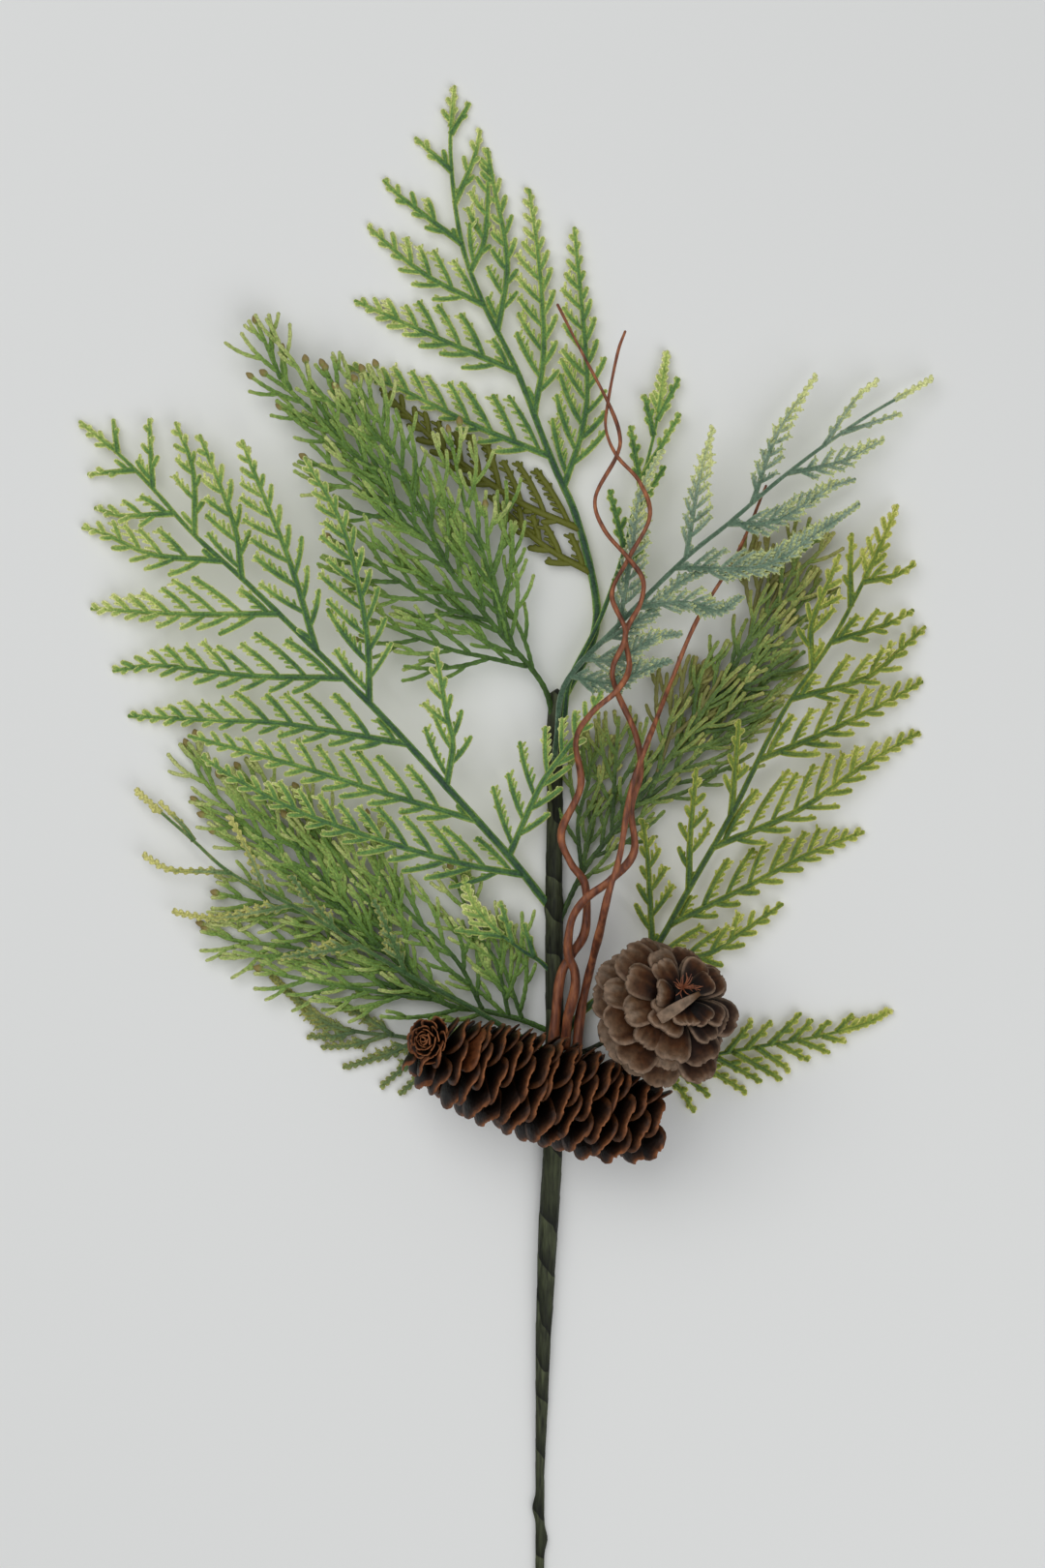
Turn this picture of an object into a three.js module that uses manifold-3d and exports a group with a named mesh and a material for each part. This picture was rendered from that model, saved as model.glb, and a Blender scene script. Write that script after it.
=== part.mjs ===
// Artificial incense cedar branch: moulded fronds and string sprays on a taped wire stem, with twisted vine
// twigs and two real cones. It lies on a surface at z = 0 and is drawn as seen from straight above.

import * as THREE from "three";
import { mergeVertices } from "three/addons/utils/BufferGeometryUtils.js";
import Module from "manifold-3d";

const wasm = await Module();
wasm.setup();

// Plan grid. A place is [across, down, height]: across and down are steps of the plan grid, height is in mm.
const planStep = 0.42;
const planOrigin = [571, 1200];

// Clearances and thicknesses, in mm
const seatGap = 0.3;
const rootDepth = 0.5;
const lowestBlade = 1.2;
const stringWidth = 1.6;
const pathSteps = 24;
const rachisSteps = 160;

// How a branch is set with twiglets: swept flat ones on fronds, slim ones with bud tips on string sprays
const flatStyle = {
  thickness: 1.1, halfWidths: [1.1, 0.5], share: 0.28, taper: 0.72, sweep: 0.78, sweepSpread: 0, lift: 0,
  bare: 0.06, least: 0,
};
const stringStyle = {
  thickness: 1.4, halfWidths: [1, 0.7], share: 0.4, taper: 0.45, sweep: 0.5, sweepSpread: 0.25, lift: 2.5,
  slim: true, least: 2,
};

// Stem stations from foot to top: across, down, radius in mm
const stemSides = 8;
const stemStations = [
  [558, 1655, 1.9], [558, 1531, 1.9], [560.5, 1433, 2.9], [564.5, 1320, 3.9], [567.5, 1264, 4.3],
  [571, 1200, 4.2], [573, 1056, 3.9], [573, 950, 3.8], [573, 945, 4.4], [573, 933, 4.4], [573, 928, 3.7],
  [574, 836, 3.4], [573, 760, 3.6], [576, 715, 3.3],
];
const wireRadius = 1.0;
const wireStations = 7;
const boreOvershoot = 5;
const boreDepth = 2;
const flatFactor = Math.cos(Math.PI / stemSides);

const colours = {
  tape: 0x36452f, wire: 0x8a8d8f, fresh: 0x5f8f3f, olive: 0x6f8a2f, bluegreen: 0x5f8572, dusk: 0x4e6b55,
  string: 0x4b6a3a, vine: 0x8a4a33, spruce: 0x8a5230, pine: 0x6e5b4f, glue: 0xe6e2d6,
};

// Flat fronds and blue-green sprays. A side branch is a list of places from its root, some with a height.
const flatSprays = [
  {
    name: "left_frond", colour: colours.fresh, radii: [1.7, 0.7], spacing: 17, reach: 25,
    rachis: [
      [572, 942, 3.5], [560, 928, 5], [527, 886, 12], [462, 813, 22], [395, 740, 26], [324, 669, 26],
      [255, 602, 22], [200, 552, 17], [156, 503, 12], [120, 467, 7], [78, 432, 1.5],
    ],
    branches: [
      [[541, 905], [479, 893, 16], [415, 875, 18], [322, 844, 17], [252, 810, 14], [207, 782, 12]],
      [[493, 848], [401, 821], [302, 790], [193, 760, 11]],
      [[423, 771], [294, 748], [221, 744], [129, 739, 1.5]],
      [[356, 702], [255, 698], [163, 687], [113, 692, 1.2]],
      [[290, 636], [189, 634], [90, 627, 1.2]],
      [[228, 579], [156, 572], [104, 549], [81, 543, 1.5]],
      [[179, 530], [124, 531], [94, 522, 1.5]],
      [[138, 485], [87, 487, 2]],
      [[527, 883], [558, 813, 15.5], [584, 776, 17.5], [605, 748, 18], [622, 714, 18]],
      [[465, 812], [468, 768], [462, 740], [450, 670, 24]],
      [[384, 726], [379, 652], [356, 549], [315, 473, 22]],
      [[327, 671], [301, 584], [267, 499], [250, 455, 20]],
      [[250, 597], [241, 540], [205, 448, 12]],
      [[202, 552], [198, 485], [179, 434, 7]],
      [[155, 501], [151, 430, 4]],
      [[120, 463], [113, 430, 2]],
    ],
  },
  {
    name: "top_frond", colour: colours.fresh, radii: [1.5, 0.7], spacing: 17, reach: 24,
    rachis: [
      [576, 730, 3.2], [590, 706, 3.2], [611, 666, 3.2], [617, 620, 3.6], [597, 535, 5], [570, 472, 6],
      [534, 380, 7], [496, 303, 7], [475, 239, 6], [465, 152, 4], [469, 82, 1.5],
    ],
    branches: [
      [[607, 592], [560, 560], [505, 510, 4]],
      [[597, 545], [536, 516], [463, 465], [392, 398, 3]],
      [[567, 472], [493, 438], [420, 402], [354, 373, 2]],
      [[534, 384], [450, 345], [365, 306, 1.5]],
      [[498, 313], [436, 278], [379, 229, 1.2]],
      [[478, 248], [413, 198], [395, 180, 1.2]],
      [[466, 172], [428, 136, 1.2]],
      [[585, 502], [602, 441], [607, 380], [594, 230, 3]],
      [[553, 424], [562, 358], [557, 267], [547, 190, 2]],
      [[514, 340], [524, 267], [510, 186], [503, 147, 1.5]],
      [[487, 275], [501, 239], [505, 150, 1.2]],
      [[470, 205], [489, 159], [496, 128, 1.2]],
      [[466, 135], [485, 100, 1.2]],
    ],
  },
  {
    name: "right_frond", colour: colours.olive, radii: [1.6, 0.7], spacing: 17, reach: 25,
    rachis: [
      [573, 1085, 3.4], [600, 1050, 5], [640, 1015, 6], [675, 985, 7], [717, 911, 13], [758, 838, 18],
      [808, 738, 20], [863, 657, 17], [908, 570, 11], [930, 520, 7],
    ],
    branches: [
      [[672, 990], [729, 988], [767, 965], [811, 935, 4]],
      [[693, 955], [767, 920], [840, 882], [896, 860, 2]],
      [[737, 875], [825, 838], [890, 794], [954, 756, 1.1]],
      [[787, 785], [855, 756], [922, 723], [957, 703, 1.1]],
      [[820, 722], [896, 700], [938, 666], [960, 646, 1.2]],
      [[860, 662], [919, 644], [947, 629, 4]],
      [[893, 600], [925, 594], [949, 581, 5]],
      [[675, 985], [670, 888], [664, 847, 13]],
      [[712, 918], [714, 861], [720, 794, 16]],
      [[756, 842], [761, 782], [764, 744, 18]],
      [[841, 690], [839, 646], [858, 599], [869, 572, 12]],
      [[882, 625], [880, 588], [882, 550, 10]],
    ],
  },
  {
    name: "small_left_frond", colour: colours.fresh, radii: [1.2, 0.7], spacing: 11, reach: 13,
    rachis: [
      [573, 1010, 3.4], [558, 994, 7], [540, 983, 9.5], [513, 962, 11], [490, 936, 11], [479, 905, 10.5],
    ],
    branches: [
      [[552, 990], [541, 955, 10]],
      [[530, 975], [517, 932, 10]],
      [[520, 968], [470, 962, 10.5]],
    ],
  },
  {
    name: "lower_right_frond", colour: colours.olive, radii: [1.3, 0.7], spacing: 32, reach: 6.5,
    rachis: [
      [573, 1112, 3.2], [650, 1104, 3.2], [722, 1095, 4.5], [794, 1082, 5], [843, 1074, 4.5],
      [897, 1060, 3], [923, 1046, 1.6],
    ],
    branches: [
      [[662, 1102], [700, 1124], [719, 1152, 2.5]],
      [[690, 1099], [735, 1135, 2.8]],
      [[716, 1095], [773, 1131, 2.6]],
      [[738, 1092], [789, 1120, 3]],
      [[760, 1088], [810, 1118, 2.6]],
      [[783, 1084], [818, 1108, 3]],
      [[806, 1080], [838, 1098, 3]],
      [[829, 1076], [860, 1090, 2.6]],
      [[853, 1071], [877, 1079, 2.6]],
      [[752, 1090], [779, 1057, 3.5]],
      [[774, 1086], [799, 1057, 3.5]],
      [[797, 1082], [830, 1049, 3.2]],
      [[819, 1078], [842, 1056, 3]],
      [[843, 1074], [859, 1057, 3]],
      [[868, 1068], [884, 1050, 2.4]],
    ],
  },
  {
    name: "middle_right_frond", colour: colours.fresh, radii: [1.3, 0.7], spacing: 11, reach: 15,
    rachis: [
      [574, 775, 3.2], [583, 745, 7], [590, 700, 10], [620, 640, 10.5], [645, 570, 10.5], [660, 510, 9],
      [678, 441, 6], [691, 359, 3],
    ],
    branches: [
      [[636, 600], [668, 560, 10]],
      [[645, 565], [630, 505, 10]],
      [[653, 535], [688, 480, 8]],
      [[662, 500], [652, 438, 7]],
      [[665, 490], [704, 425, 5]],
      [[676, 448], [667, 405, 5]],
      [[680, 432], [703, 388, 4]],
    ],
  },
  {
    name: "right_blue_spray", colour: colours.bluegreen, radii: [1.4, 0.7], spacing: 13, reach: 15,
    rachis: [
      [573, 790, 5], [576, 760, 11], [585, 705, 18], [638, 647, 20], [706, 579, 21], [754, 540, 21],
      [815, 488, 19], [889, 434, 14], [967, 388, 7],
    ],
    branches: [
      [[640, 645], [654, 561], [662, 508], [684, 465, 18]],
      [[708, 577], [723, 494], [737, 441, 17]],
      [[776, 518], [804, 447], [845, 386, 12]],
      [[852, 460], [886, 410], [910, 390, 9]],
      [[870, 448], [933, 425, 10]],
      [[815, 490], [867, 477], [915, 453, 12]],
      [[754, 542], [802, 538], [856, 505], [885, 494, 14]],
      [[700, 588], [787, 585], [839, 555], [889, 520, 16]],
      [[655, 630], [705, 622], [744, 631], [767, 616, 18]],
      [[606, 682], [640, 681], [675, 660], [705, 655, 18]],
    ],
  },
  {
    name: "lower_left_blue_spray", colour: colours.dusk, radii: [1.2, 0.7], spacing: 13, reach: 10,
    rachis: [
      [571, 1120, 3], [530, 1105, 2.6], [426, 1076, 2.6], [373, 1069, 3], [339, 1061, 2.6],
      [314, 1042, 2.2], [288, 1019, 1.8], [277, 1008, 1.6],
    ],
    branches: [
      [[480, 1091], [440, 1110], [412, 1134, 1.6]],
      [[455, 1084], [425, 1100], [392, 1126, 1.6]],
      [[430, 1077], [400, 1092], [353, 1106, 1.6]],
      [[398, 1072], [365, 1082], [330, 1084, 1.6]],
      [[365, 1068], [340, 1074], [316, 1073, 1.6]],
      [[405, 1073], [375, 1052], [345, 1040, 2]],
    ],
  },
  {
    name: "yellow_tipped_spray", colour: colours.bluegreen, radii: [1.3, 0.7], spacing: 13, reach: 14,
    rachis: [
      [573, 1092, 3.2], [530, 1068, 9], [480, 1038, 12], [415, 1004, 13], [316, 944, 13], [238, 903, 11],
      [196, 867, 9.5], [137, 816, 7],
    ],
    branches: [
      [[420, 1007], [400, 960], [385, 930, 12]],
      [[370, 977], [325, 985], [290, 990, 11]],
      [[350, 965], [315, 925], [300, 905, 12]],
      [[300, 936], [224, 949], [176, 943, 8]],
      [[272, 922], [260, 890], [243, 857], [235, 843, 10]],
      [[238, 903], [213, 901], [173, 899], [145, 884, 7]],
      [[198, 869], [187, 853], [162, 829, 7.5]],
    ],
  },
];

// Sprays of round strings: main strings with heights, and side strings set along them by rule
const stringSprays = [
  {
    name: "upper_left_string_spray", colour: colours.string, spacing: 21, reach: 26,
    mains: [
      [
        [573, 748, 3.4], [560, 705, 8], [514, 650, 12], [463, 587, 14], [408, 514, 15], [349, 448, 14],
        [296, 398, 12], [266, 336, 10],
      ],
      [[520, 657, 11.8], [500, 574, 13.5], [483, 530, 13], [465, 450, 11]],
      [[468, 592, 14], [430, 520, 15], [400, 450, 14.5], [370, 397, 12.5]],
      [[545, 688, 10], [500, 678, 12.5], [461, 669, 14], [385, 640, 14.5]],
      [[506, 641, 12.3], [455, 625, 14.5], [400, 592, 15.5], [345, 558, 15]],
      [[531, 670, 10.8], [514, 611, 13], [505, 570, 13.5], [502, 528, 12.5]],
      [[434, 550, 14.6], [400, 530, 15.5], [365, 502, 15.5], [320, 475, 14]],
      [[323, 424, 13], [290, 415, 12], [272, 384, 10]],
      [[408, 514, 15], [366, 440, 14], [336, 381, 12]],
    ],
  },
  {
    name: "lower_left_string_spray", colour: colours.string, spacing: 21, reach: 24,
    mains: [
      [
        [573, 1070, 3.4], [540, 1056, 5], [500, 1046, 6], [457, 1037, 7], [401, 987, 7], [333, 922, 6.5],
        [271, 869, 5.5], [213, 813, 4], [193, 775, 3],
      ],
      [[457, 1037, 7], [401, 1020, 5], [316, 984, 5], [241, 973, 3.5], [217, 964, 3]],
      [[499, 1046, 6], [471, 993, 8], [415, 936, 7], [389, 897, 6], [380, 849, 5]],
      [[526, 1052, 5.5], [513, 998, 6.5], [490, 959, 6.5], [468, 903, 6.5]],
      [[445, 1034, 7], [387, 1035, 7], [300, 1020, 6], [273, 1009, 5.5]],
      [[401, 987, 7], [330, 950, 6.5], [228, 925, 4]],
      [[360, 948, 7], [310, 880, 6], [248, 798, 4]],
      [[430, 1013, 7], [365, 910, 6.5], [330, 855, 5.5], [308, 820, 4.5]],
      [[540, 1056, 5], [524, 1010, 6], [508, 965, 6]],
    ],
  },
  {
    name: "right_string_spray", colour: colours.string, spacing: 21, reach: 24,
    mains: [
      [
        [573, 965, 3.4], [602, 903, 5], [628, 868, 6], [680, 800, 7], [730, 730, 7], [775, 665, 7],
        [810, 610, 6], [840, 545, 5],
      ],
      [[650, 840, 6.3], [704, 797, 6], [757, 745, 6], [790, 710, 5]],
      [[602, 903, 5], [598, 850, 5], [610, 800, 4.5], [608, 760, 4]],
      [[633, 862, 6], [636, 800, 6], [640, 745, 5]],
      [[680, 800, 7], [700, 740, 6.5], [722, 690, 6]],
      [[690, 787, 7], [750, 738, 6], [822, 683, 5]],
      [[775, 665, 7], [785, 610, 6.5], [800, 565, 6]],
      [[730, 730, 7], [790, 672, 6.5], [848, 600, 5]],
    ],
  },
];

// Vine twigs: places along each, and the radius at its ends
const vines = [
  {
    name: "vine_1", radii: [2.4, 0.6],
    places: [
      [572, 1074, 10.4], [575, 1045, 10.5], [580, 1008, 10.6], [591, 987, 10.8], [605, 962, 11.6],
      [605, 915, 13], [590, 892, 14], [580, 860, 16], [600, 812, 20], [595, 765, 25], [611, 737, 28],
      [637, 714, 29], [650, 690, 26], [646, 655, 24], [661, 625, 26.5], [664, 600, 28], [649, 578, 29],
      [624, 548, 27], [615, 515, 25], [637, 472, 24], [640, 450, 26.5], [628, 417, 26.8], [600, 363, 25],
      [576, 315, 22],
    ],
  },
  {
    name: "vine_2", radii: [2.4, 0.6],
    places: [
      [584, 1072, 11], [587, 1052, 13.2], [594, 1024, 15], [594, 1004, 15.5], [587, 984, 16.1],
      [591, 950, 18.2], [606, 928, 19.5], [631, 909, 21], [655, 880, 23], [652, 835, 24], [662, 800, 24],
      [657, 760, 24], [637, 714, 23.5], [633, 690, 27], [646, 655, 29.5], [632, 615, 26],
      [649, 578, 23.5], [671, 535, 26], [661, 500, 27.5], [637, 472, 27], [626, 445, 25.5],
      [628, 417, 24], [638, 366, 25], [646, 343, 24],
    ],
  },
  {
    name: "vine_3", radii: [2.3, 0.6],
    places: [
      [597, 1074, 9.4], [600, 1050, 9.1], [606, 1020, 9.8], [613, 990, 15.5], [620, 960, 23.5],
      [628, 924, 29], [640, 883, 31], [651, 818, 31], [666, 774, 30], [681, 736, 23], [695, 701, 17],
      [721, 640, 14.5], [763, 570, 13.5], [793, 500, 11],
    ],
  },
];

// Long spruce cone: its ends, the radius of its core and over the scales along it, and the scales' rule
const spruceCone = {
  base: [420, 1077, 31], tip: [683, 1161, 28.5], core: [4, 8.5, 9, 8.5, 4],
  envelope: [13, 19, 23.5, 25.5, 25.5, 24, 15], scales: 36, opening: [90, 70], width: 10.2, thickness: 1,
  longest: 24, rootSink: 0.6,
};

// Round pine cone: centre, half height along its axis, radius, and the place its base points at
const pineCone = {
  centre: [687, 1038.5, 51.3], towards: [710, 1017.5, 75.3], halfHeight: 23, radius: 32.5, core: 8,
  bulge: [0.42, 0.72, 0.92, 1.02, 1, 0.86, 0.66], scales: 26, width: 10, thickness: 1.3, rootSink: 0.55,
};
const pineStalk = [[573, 1098, 3.2], [610, 1086, 6], [650, 1063, 13], [668, 1054, 22], [674, 1050, 30]];
const pineStalkRadius = 1.1;

// Set glue: a mound between the stem and the long cone, and a ball at the stalk's end in the round cone
const spruceSeat = { at: [571, 1118], low: 6.5, high: 23, radius: 6 };
const pineSeat = { at: [674, 1050, 26], radius: 4.5 };

// A cone scale's end lies at this share of its length
const plateReach = 0.94;

const goldenAngle = Math.PI * (3 - Math.sqrt(5));
const upward = new THREE.Vector3(0, 0, 1);

function place([across, down, height = 0]) {
  return new THREE.Vector3((across - planOrigin[0]) * planStep, (planOrigin[1] - down) * planStep, height);
}

function route(places) {
  return new THREE.CatmullRomCurve3(places.map(place), false, "catmullrom", 0.5);
}

// A repeatable number from 0 to 1 for the k-th draw of a piece
function draw(seed, k) {
  const value = Math.sin(seed * 12.9898 + k * 78.233) * 43758.5453;
  return value - Math.floor(value);
}

// Reads a list of evenly spaced values at t from 0 to 1
function along(values, t) {
  const at = Math.min(Math.max(t, 0), 1) * (values.length - 1);
  const k = Math.min(Math.floor(at), values.length - 2);
  return values[k] + (values[k + 1] - values[k]) * (at - k);
}

function geometryOf(vertices, triangles) {
  const geometry = new THREE.BufferGeometry();
  geometry.setAttribute("position",
    new THREE.Float32BufferAttribute(vertices.flatMap((v) => v.toArray()), 3));
  geometry.setIndex(triangles.flat());
  return geometry;
}

function solidOf(geometry) {
  geometry.deleteAttribute("normal");
  geometry.deleteAttribute("uv");
  const merged = mergeVertices(geometry, 1e-4);
  return new wasm.Manifold(new wasm.Mesh({
    numProp: 3,
    vertProperties: new Float32Array(merged.attributes.position.array),
    triVerts: new Uint32Array(merged.index.array),
  }));
}

// Closed skin over a row of rings with the same number of points, anticlockwise seen from the last ring
function loft(rings) {
  const sides = rings[0].length;
  const triangles = [];
  for (let r = 0; r + 1 < rings.length; r += 1) {
    for (let s = 0; s < sides; s += 1) {
      const a = r * sides + s;
      const b = r * sides + ((s + 1) % sides);
      triangles.push([a, b, b + sides], [a, b + sides, a + sides]);
    }
  }
  const last = (rings.length - 1) * sides;
  for (let s = 1; s + 1 < sides; s += 1) {
    triangles.push([0, s + 1, s], [last, last + s, last + s + 1]);
  }
  return geometryOf(rings.flat(), triangles);
}

function ringAround(centre, direction, radius, sides) {
  const side = new THREE.Vector3().crossVectors(upward, direction).normalize();
  const top = new THREE.Vector3().crossVectors(direction, side).normalize();
  return Array.from({ length: sides }, (_, s) => {
    const angle = (2 * Math.PI * (s + 0.5)) / sides;
    return centre.clone()
      .addScaledVector(side, radius * Math.cos(angle))
      .addScaledVector(top, radius * Math.sin(angle));
  });
}

function taperedTube(curve, radii, sides, steps) {
  const rings = [];
  for (let k = 0; k <= steps; k += 1) {
    const t = k / steps;
    rings.push(ringAround(curve.getPointAt(t), curve.getTangentAt(t), along(radii, t), sides));
  }
  return solidOf(loft(rings));
}

// Tube with its rings square to Y; at the stem's own radius its lowest facet lies on z = 0
function stemTube(stations, radiusAt) {
  const rings = stations.map(([across, down, radius]) => {
    const centre = place([across, down, radius * flatFactor]);
    return Array.from({ length: stemSides }, (_, s) => {
      const angle = (2 * Math.PI * (s + 0.5)) / stemSides;
      const size = radiusAt(radius);
      return new THREE.Vector3(centre.x - size * Math.cos(angle), centre.y,
        centre.z + size * Math.sin(angle));
    });
  });
  return solidOf(loft(rings));
}

function distanceToPath(point, path) {
  return Math.min(...path.map((p) => Math.hypot(p.x - point.x, p.y - point.y)));
}

// Side branch rooted on the rachis: the places give its plan, and heights that aren't given are shared out
function branchRoute(rachisPath, places) {
  const root = place(places[0]);
  const planGap = (p) => Math.hypot(p.x - root.x, p.y - root.y);
  const start = rachisPath.reduce((best, p) => (planGap(p) < planGap(best) ? p : best));
  const points = places.map(place);
  points[0] = start.clone();
  const lengths = [0];
  for (let k = 1; k < points.length; k += 1) {
    lengths.push(lengths[k - 1] + Math.hypot(points[k].x - points[k - 1].x, points[k].y - points[k - 1].y));
  }
  const known = places.map((p, k) => (k === 0 || p.length > 2 ? k : -1)).filter((k) => k >= 0);
  points.forEach((point, k) => {
    const before = Math.max(...known.filter((n) => n <= k));
    const after = Math.min(...known.filter((n) => n >= k));
    const share = after === before ? 0 : (lengths[k] - lengths[before]) / (lengths[after] - lengths[before]);
    point.z = points[before].z + (points[after].z - points[before].z) * share;
  });
  return new THREE.CatmullRomCurve3(points, false, "catmullrom", 0.5);
}

// Thin blade with the same triangles on both faces; its outline runs anticlockwise seen from above
function blade(outline, thickness) {
  const flat = outline.map((p) => new THREE.Vector2(p.x, p.y));
  const faces = THREE.ShapeUtils.triangulateShape(flat, []);
  const count = outline.length;
  const low = outline.map((p) => new THREE.Vector3(p.x, p.y, p.z - thickness / 2));
  const high = outline.map((p) => new THREE.Vector3(p.x, p.y, p.z + thickness / 2));
  const triangles = [];
  for (const [a, b, c] of faces) {
    triangles.push([a + count, b + count, c + count], [a, c, b]);
  }
  for (let k = 0; k < count; k += 1) {
    const next = (k + 1) % count;
    triangles.push([k, next, next + count], [k, next + count, k + count]);
  }
  return solidOf(geometryOf([...low, ...high], triangles));
}

// How far a twiglet may run before it comes nearer to a neighbour than to its own branch
function freeReach(root, direction, wanted, own, others) {
  const steps = 6;
  let reach = wanted * 0.25;
  for (let k = 2; k <= steps; k += 1) {
    const tryReach = (wanted * k) / steps;
    const tip = root.clone().addScaledVector(direction, tryReach);
    if (others.some((path) => distanceToPath(tip, path) < distanceToPath(tip, own) + 1)) {
      break;
    }
    reach = tryReach;
  }
  return reach;
}

// One branch as a comb blade: twiglets set left and right in turn, swept forward and shorter towards its tip
function combBlade(curve, style, seed, others) {
  const length = curve.getLength();
  const own = curve.getSpacedPoints(pathSteps);
  const count = Math.max(style.least, Math.round((length * (1 - style.bare)) / style.spacing));
  const wanted = Math.min(style.reach, Math.max(6, length * style.share));
  const sideOutline = (side) => {
    const points = [];
    for (let k = 0; k < count; k += 1) {
      const pick = 2 * k + (side > 0 ? 1 : 0);
      const t = style.bare + ((1 - style.bare) * (k + (side > 0 ? 0.5 : 0.05))) / count;
      const centre = curve.getPointAt(t);
      const tangent = curve.getTangentAt(t).setZ(0).normalize();
      const across = new THREE.Vector3(-tangent.y * side, tangent.x * side, 0);
      const halfWidth = style.halfWidths[0] + (style.halfWidths[1] - style.halfWidths[0]) * t;
      const sweep = style.sweep + style.sweepSpread * (draw(seed + 2, pick) - 0.5);
      const direction = tangent.clone().multiplyScalar(Math.cos(sweep)).addScaledVector(across,
        Math.sin(sweep));
      const size = wanted * (1 - style.taper * t) * (0.8 + 0.35 * draw(seed, pick));
      const reach = freeReach(centre, direction, Math.max(size, 3.5), own, others);
      const back = centre.clone().addScaledVector(across, halfWidth);
      const tip = back.clone().addScaledVector(direction, reach);
      tip.z += style.lift * (draw(seed + 4, pick) - 0.5) - 0.05 * reach;
      tip.z = Math.max(tip.z, lowestBlade);
      points.push(back, tip);
      if (style.slim) {
        points.push(back.clone().addScaledVector(tangent, stringWidth));
      }
    }
    return points;
  };
  const root = curve.getPointAt(0);
  const rootTangent = curve.getTangentAt(0).setZ(0).normalize();
  const rootSide = new THREE.Vector3(-rootTangent.y, rootTangent.x, 0);
  const start = root.clone().addScaledVector(rootTangent, -rootDepth);
  return blade([
    start.clone().addScaledVector(rootSide, -style.halfWidths[0]),
    ...sideOutline(-1),
    curve.getPointAt(1),
    ...sideOutline(1).reverse(),
    start.clone().addScaledVector(rootSide, style.halfWidths[0]),
  ], style.thickness);
}

function flatSpray(spray, seed) {
  const rachis = route(spray.rachis);
  const length = rachis.getLength();
  const rachisPath = rachis.getSpacedPoints(rachisSteps);
  const curves = spray.branches.map((places) => branchRoute(rachisPath, places));
  const paths = curves.map((curve) => curve.getSpacedPoints(pathSteps));
  const pieces = [taperedTube(rachis, spray.radii, 5, Math.max(5, Math.round(length / 30)))];
  curves.forEach((curve, k) => {
    const others = paths.filter((_, n) => n !== k);
    pieces.push(combBlade(curve, { ...flatStyle, ...spray }, seed + k * 3.1, [...others, rachisPath]));
  });
  return wasm.Manifold.union(pieces);
}

function stringSpray(spray, seed) {
  const curves = spray.mains.map(route);
  const paths = curves.map((curve) => curve.getSpacedPoints(pathSteps));
  return wasm.Manifold.union(curves.map((curve, main) => {
    const others = paths.filter((_, n) => n !== main);
    const bare = main === 0 ? 0.16 : 0.08;
    return combBlade(curve, { ...stringStyle, ...spray, bare }, seed + main * 3.1, others);
  }));
}

function vineTwig(vine) {
  const curve = route(vine.places);
  const steps = Math.round(curve.getLength() / 12);
  return taperedTube(curve, [vine.radii[0], vine.radii[0] * 0.62, vine.radii[0] * 0.42, vine.radii[1]],
    5, steps);
}

// Cone scale: a rounded plate from its root outwards, with its width along `across` and thin along `thin`
function scalePlate(root, outward, across, width, length, thickness) {
  const thin = new THREE.Vector3().crossVectors(across, outward).normalize();
  const shape = [
    [0.28, 0], [1, 0.6], [0.62, plateReach], [-0.62, plateReach], [-1, 0.6], [-0.28, 0],
  ];
  const rings = [-0.5, 0.5].map((layer) => shape.map(([w, l]) => root.clone()
    .addScaledVector(across, w * width)
    .addScaledVector(outward, l * length)
    .addScaledVector(thin, layer * thickness)));
  return solidOf(loft(rings));
}

// Scales round an axis in a golden-angle spiral; profile(t) gives each one's place, opening, length and width
function coneOf(base, axis, coreRings, { scales, thickness }, profile) {
  const side = new THREE.Vector3().crossVectors(upward, axis);
  const sideways = side.lengthSq() > 0.01 ? side.normalize() : new THREE.Vector3(1, 0, 0);
  const other = new THREE.Vector3().crossVectors(axis, sideways).normalize();
  const ringAt = (distance, radius) => Array.from({ length: 6 }, (_, s) => {
    const angle = (2 * Math.PI * s) / 6;
    return base.clone()
      .addScaledVector(axis, distance)
      .addScaledVector(sideways, radius * Math.cos(angle))
      .addScaledVector(other, radius * Math.sin(angle));
  });
  const pieces = [solidOf(loft(coreRings.map(([distance, radius]) => ringAt(distance, radius))))];
  for (let k = 0; k < scales; k += 1) {
    const angle = k * goldenAngle;
    const { distance, opening, length, width, inset } = profile((k + 0.5) / scales);
    const radial = sideways.clone().multiplyScalar(Math.cos(angle)).addScaledVector(other, Math.sin(angle));
    const across = new THREE.Vector3().crossVectors(axis, radial).normalize();
    const outward = radial.clone().multiplyScalar(Math.sin(opening)).addScaledVector(axis,
      Math.cos(opening));
    const root = base.clone().addScaledVector(axis, distance).addScaledVector(radial, inset);
    pieces.push(scalePlate(root, outward, across, width, length, thickness));
  }
  return wasm.Manifold.union(pieces);
}

function spruceConeSolid() {
  const base = place(spruceCone.base);
  const tip = place(spruceCone.tip);
  const axis = tip.clone().sub(base);
  const length = axis.length();
  axis.normalize();
  const { core, envelope, opening, longest } = spruceCone;
  const coreRings = core.map((radius, k) => [length * along([0.02, 0.96], k / (core.length - 1)), radius]);
  return coneOf(base, axis, coreRings, spruceCone, (t) => {
    const distance = length * along([0.03, 0.92], t);
    const angle = (along(opening, t) * Math.PI) / 180;
    const inset = along(core, t) * spruceCone.rootSink;
    const edge = along(envelope, distance / length);
    const reach = Math.min(longest, (edge - inset) / Math.sin(angle) / plateReach);
    const width = spruceCone.width * along([0.6, 0.95, 1, 1, 0.9], t);
    return { distance, opening: angle, length: reach, width, inset };
  });
}

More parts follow.
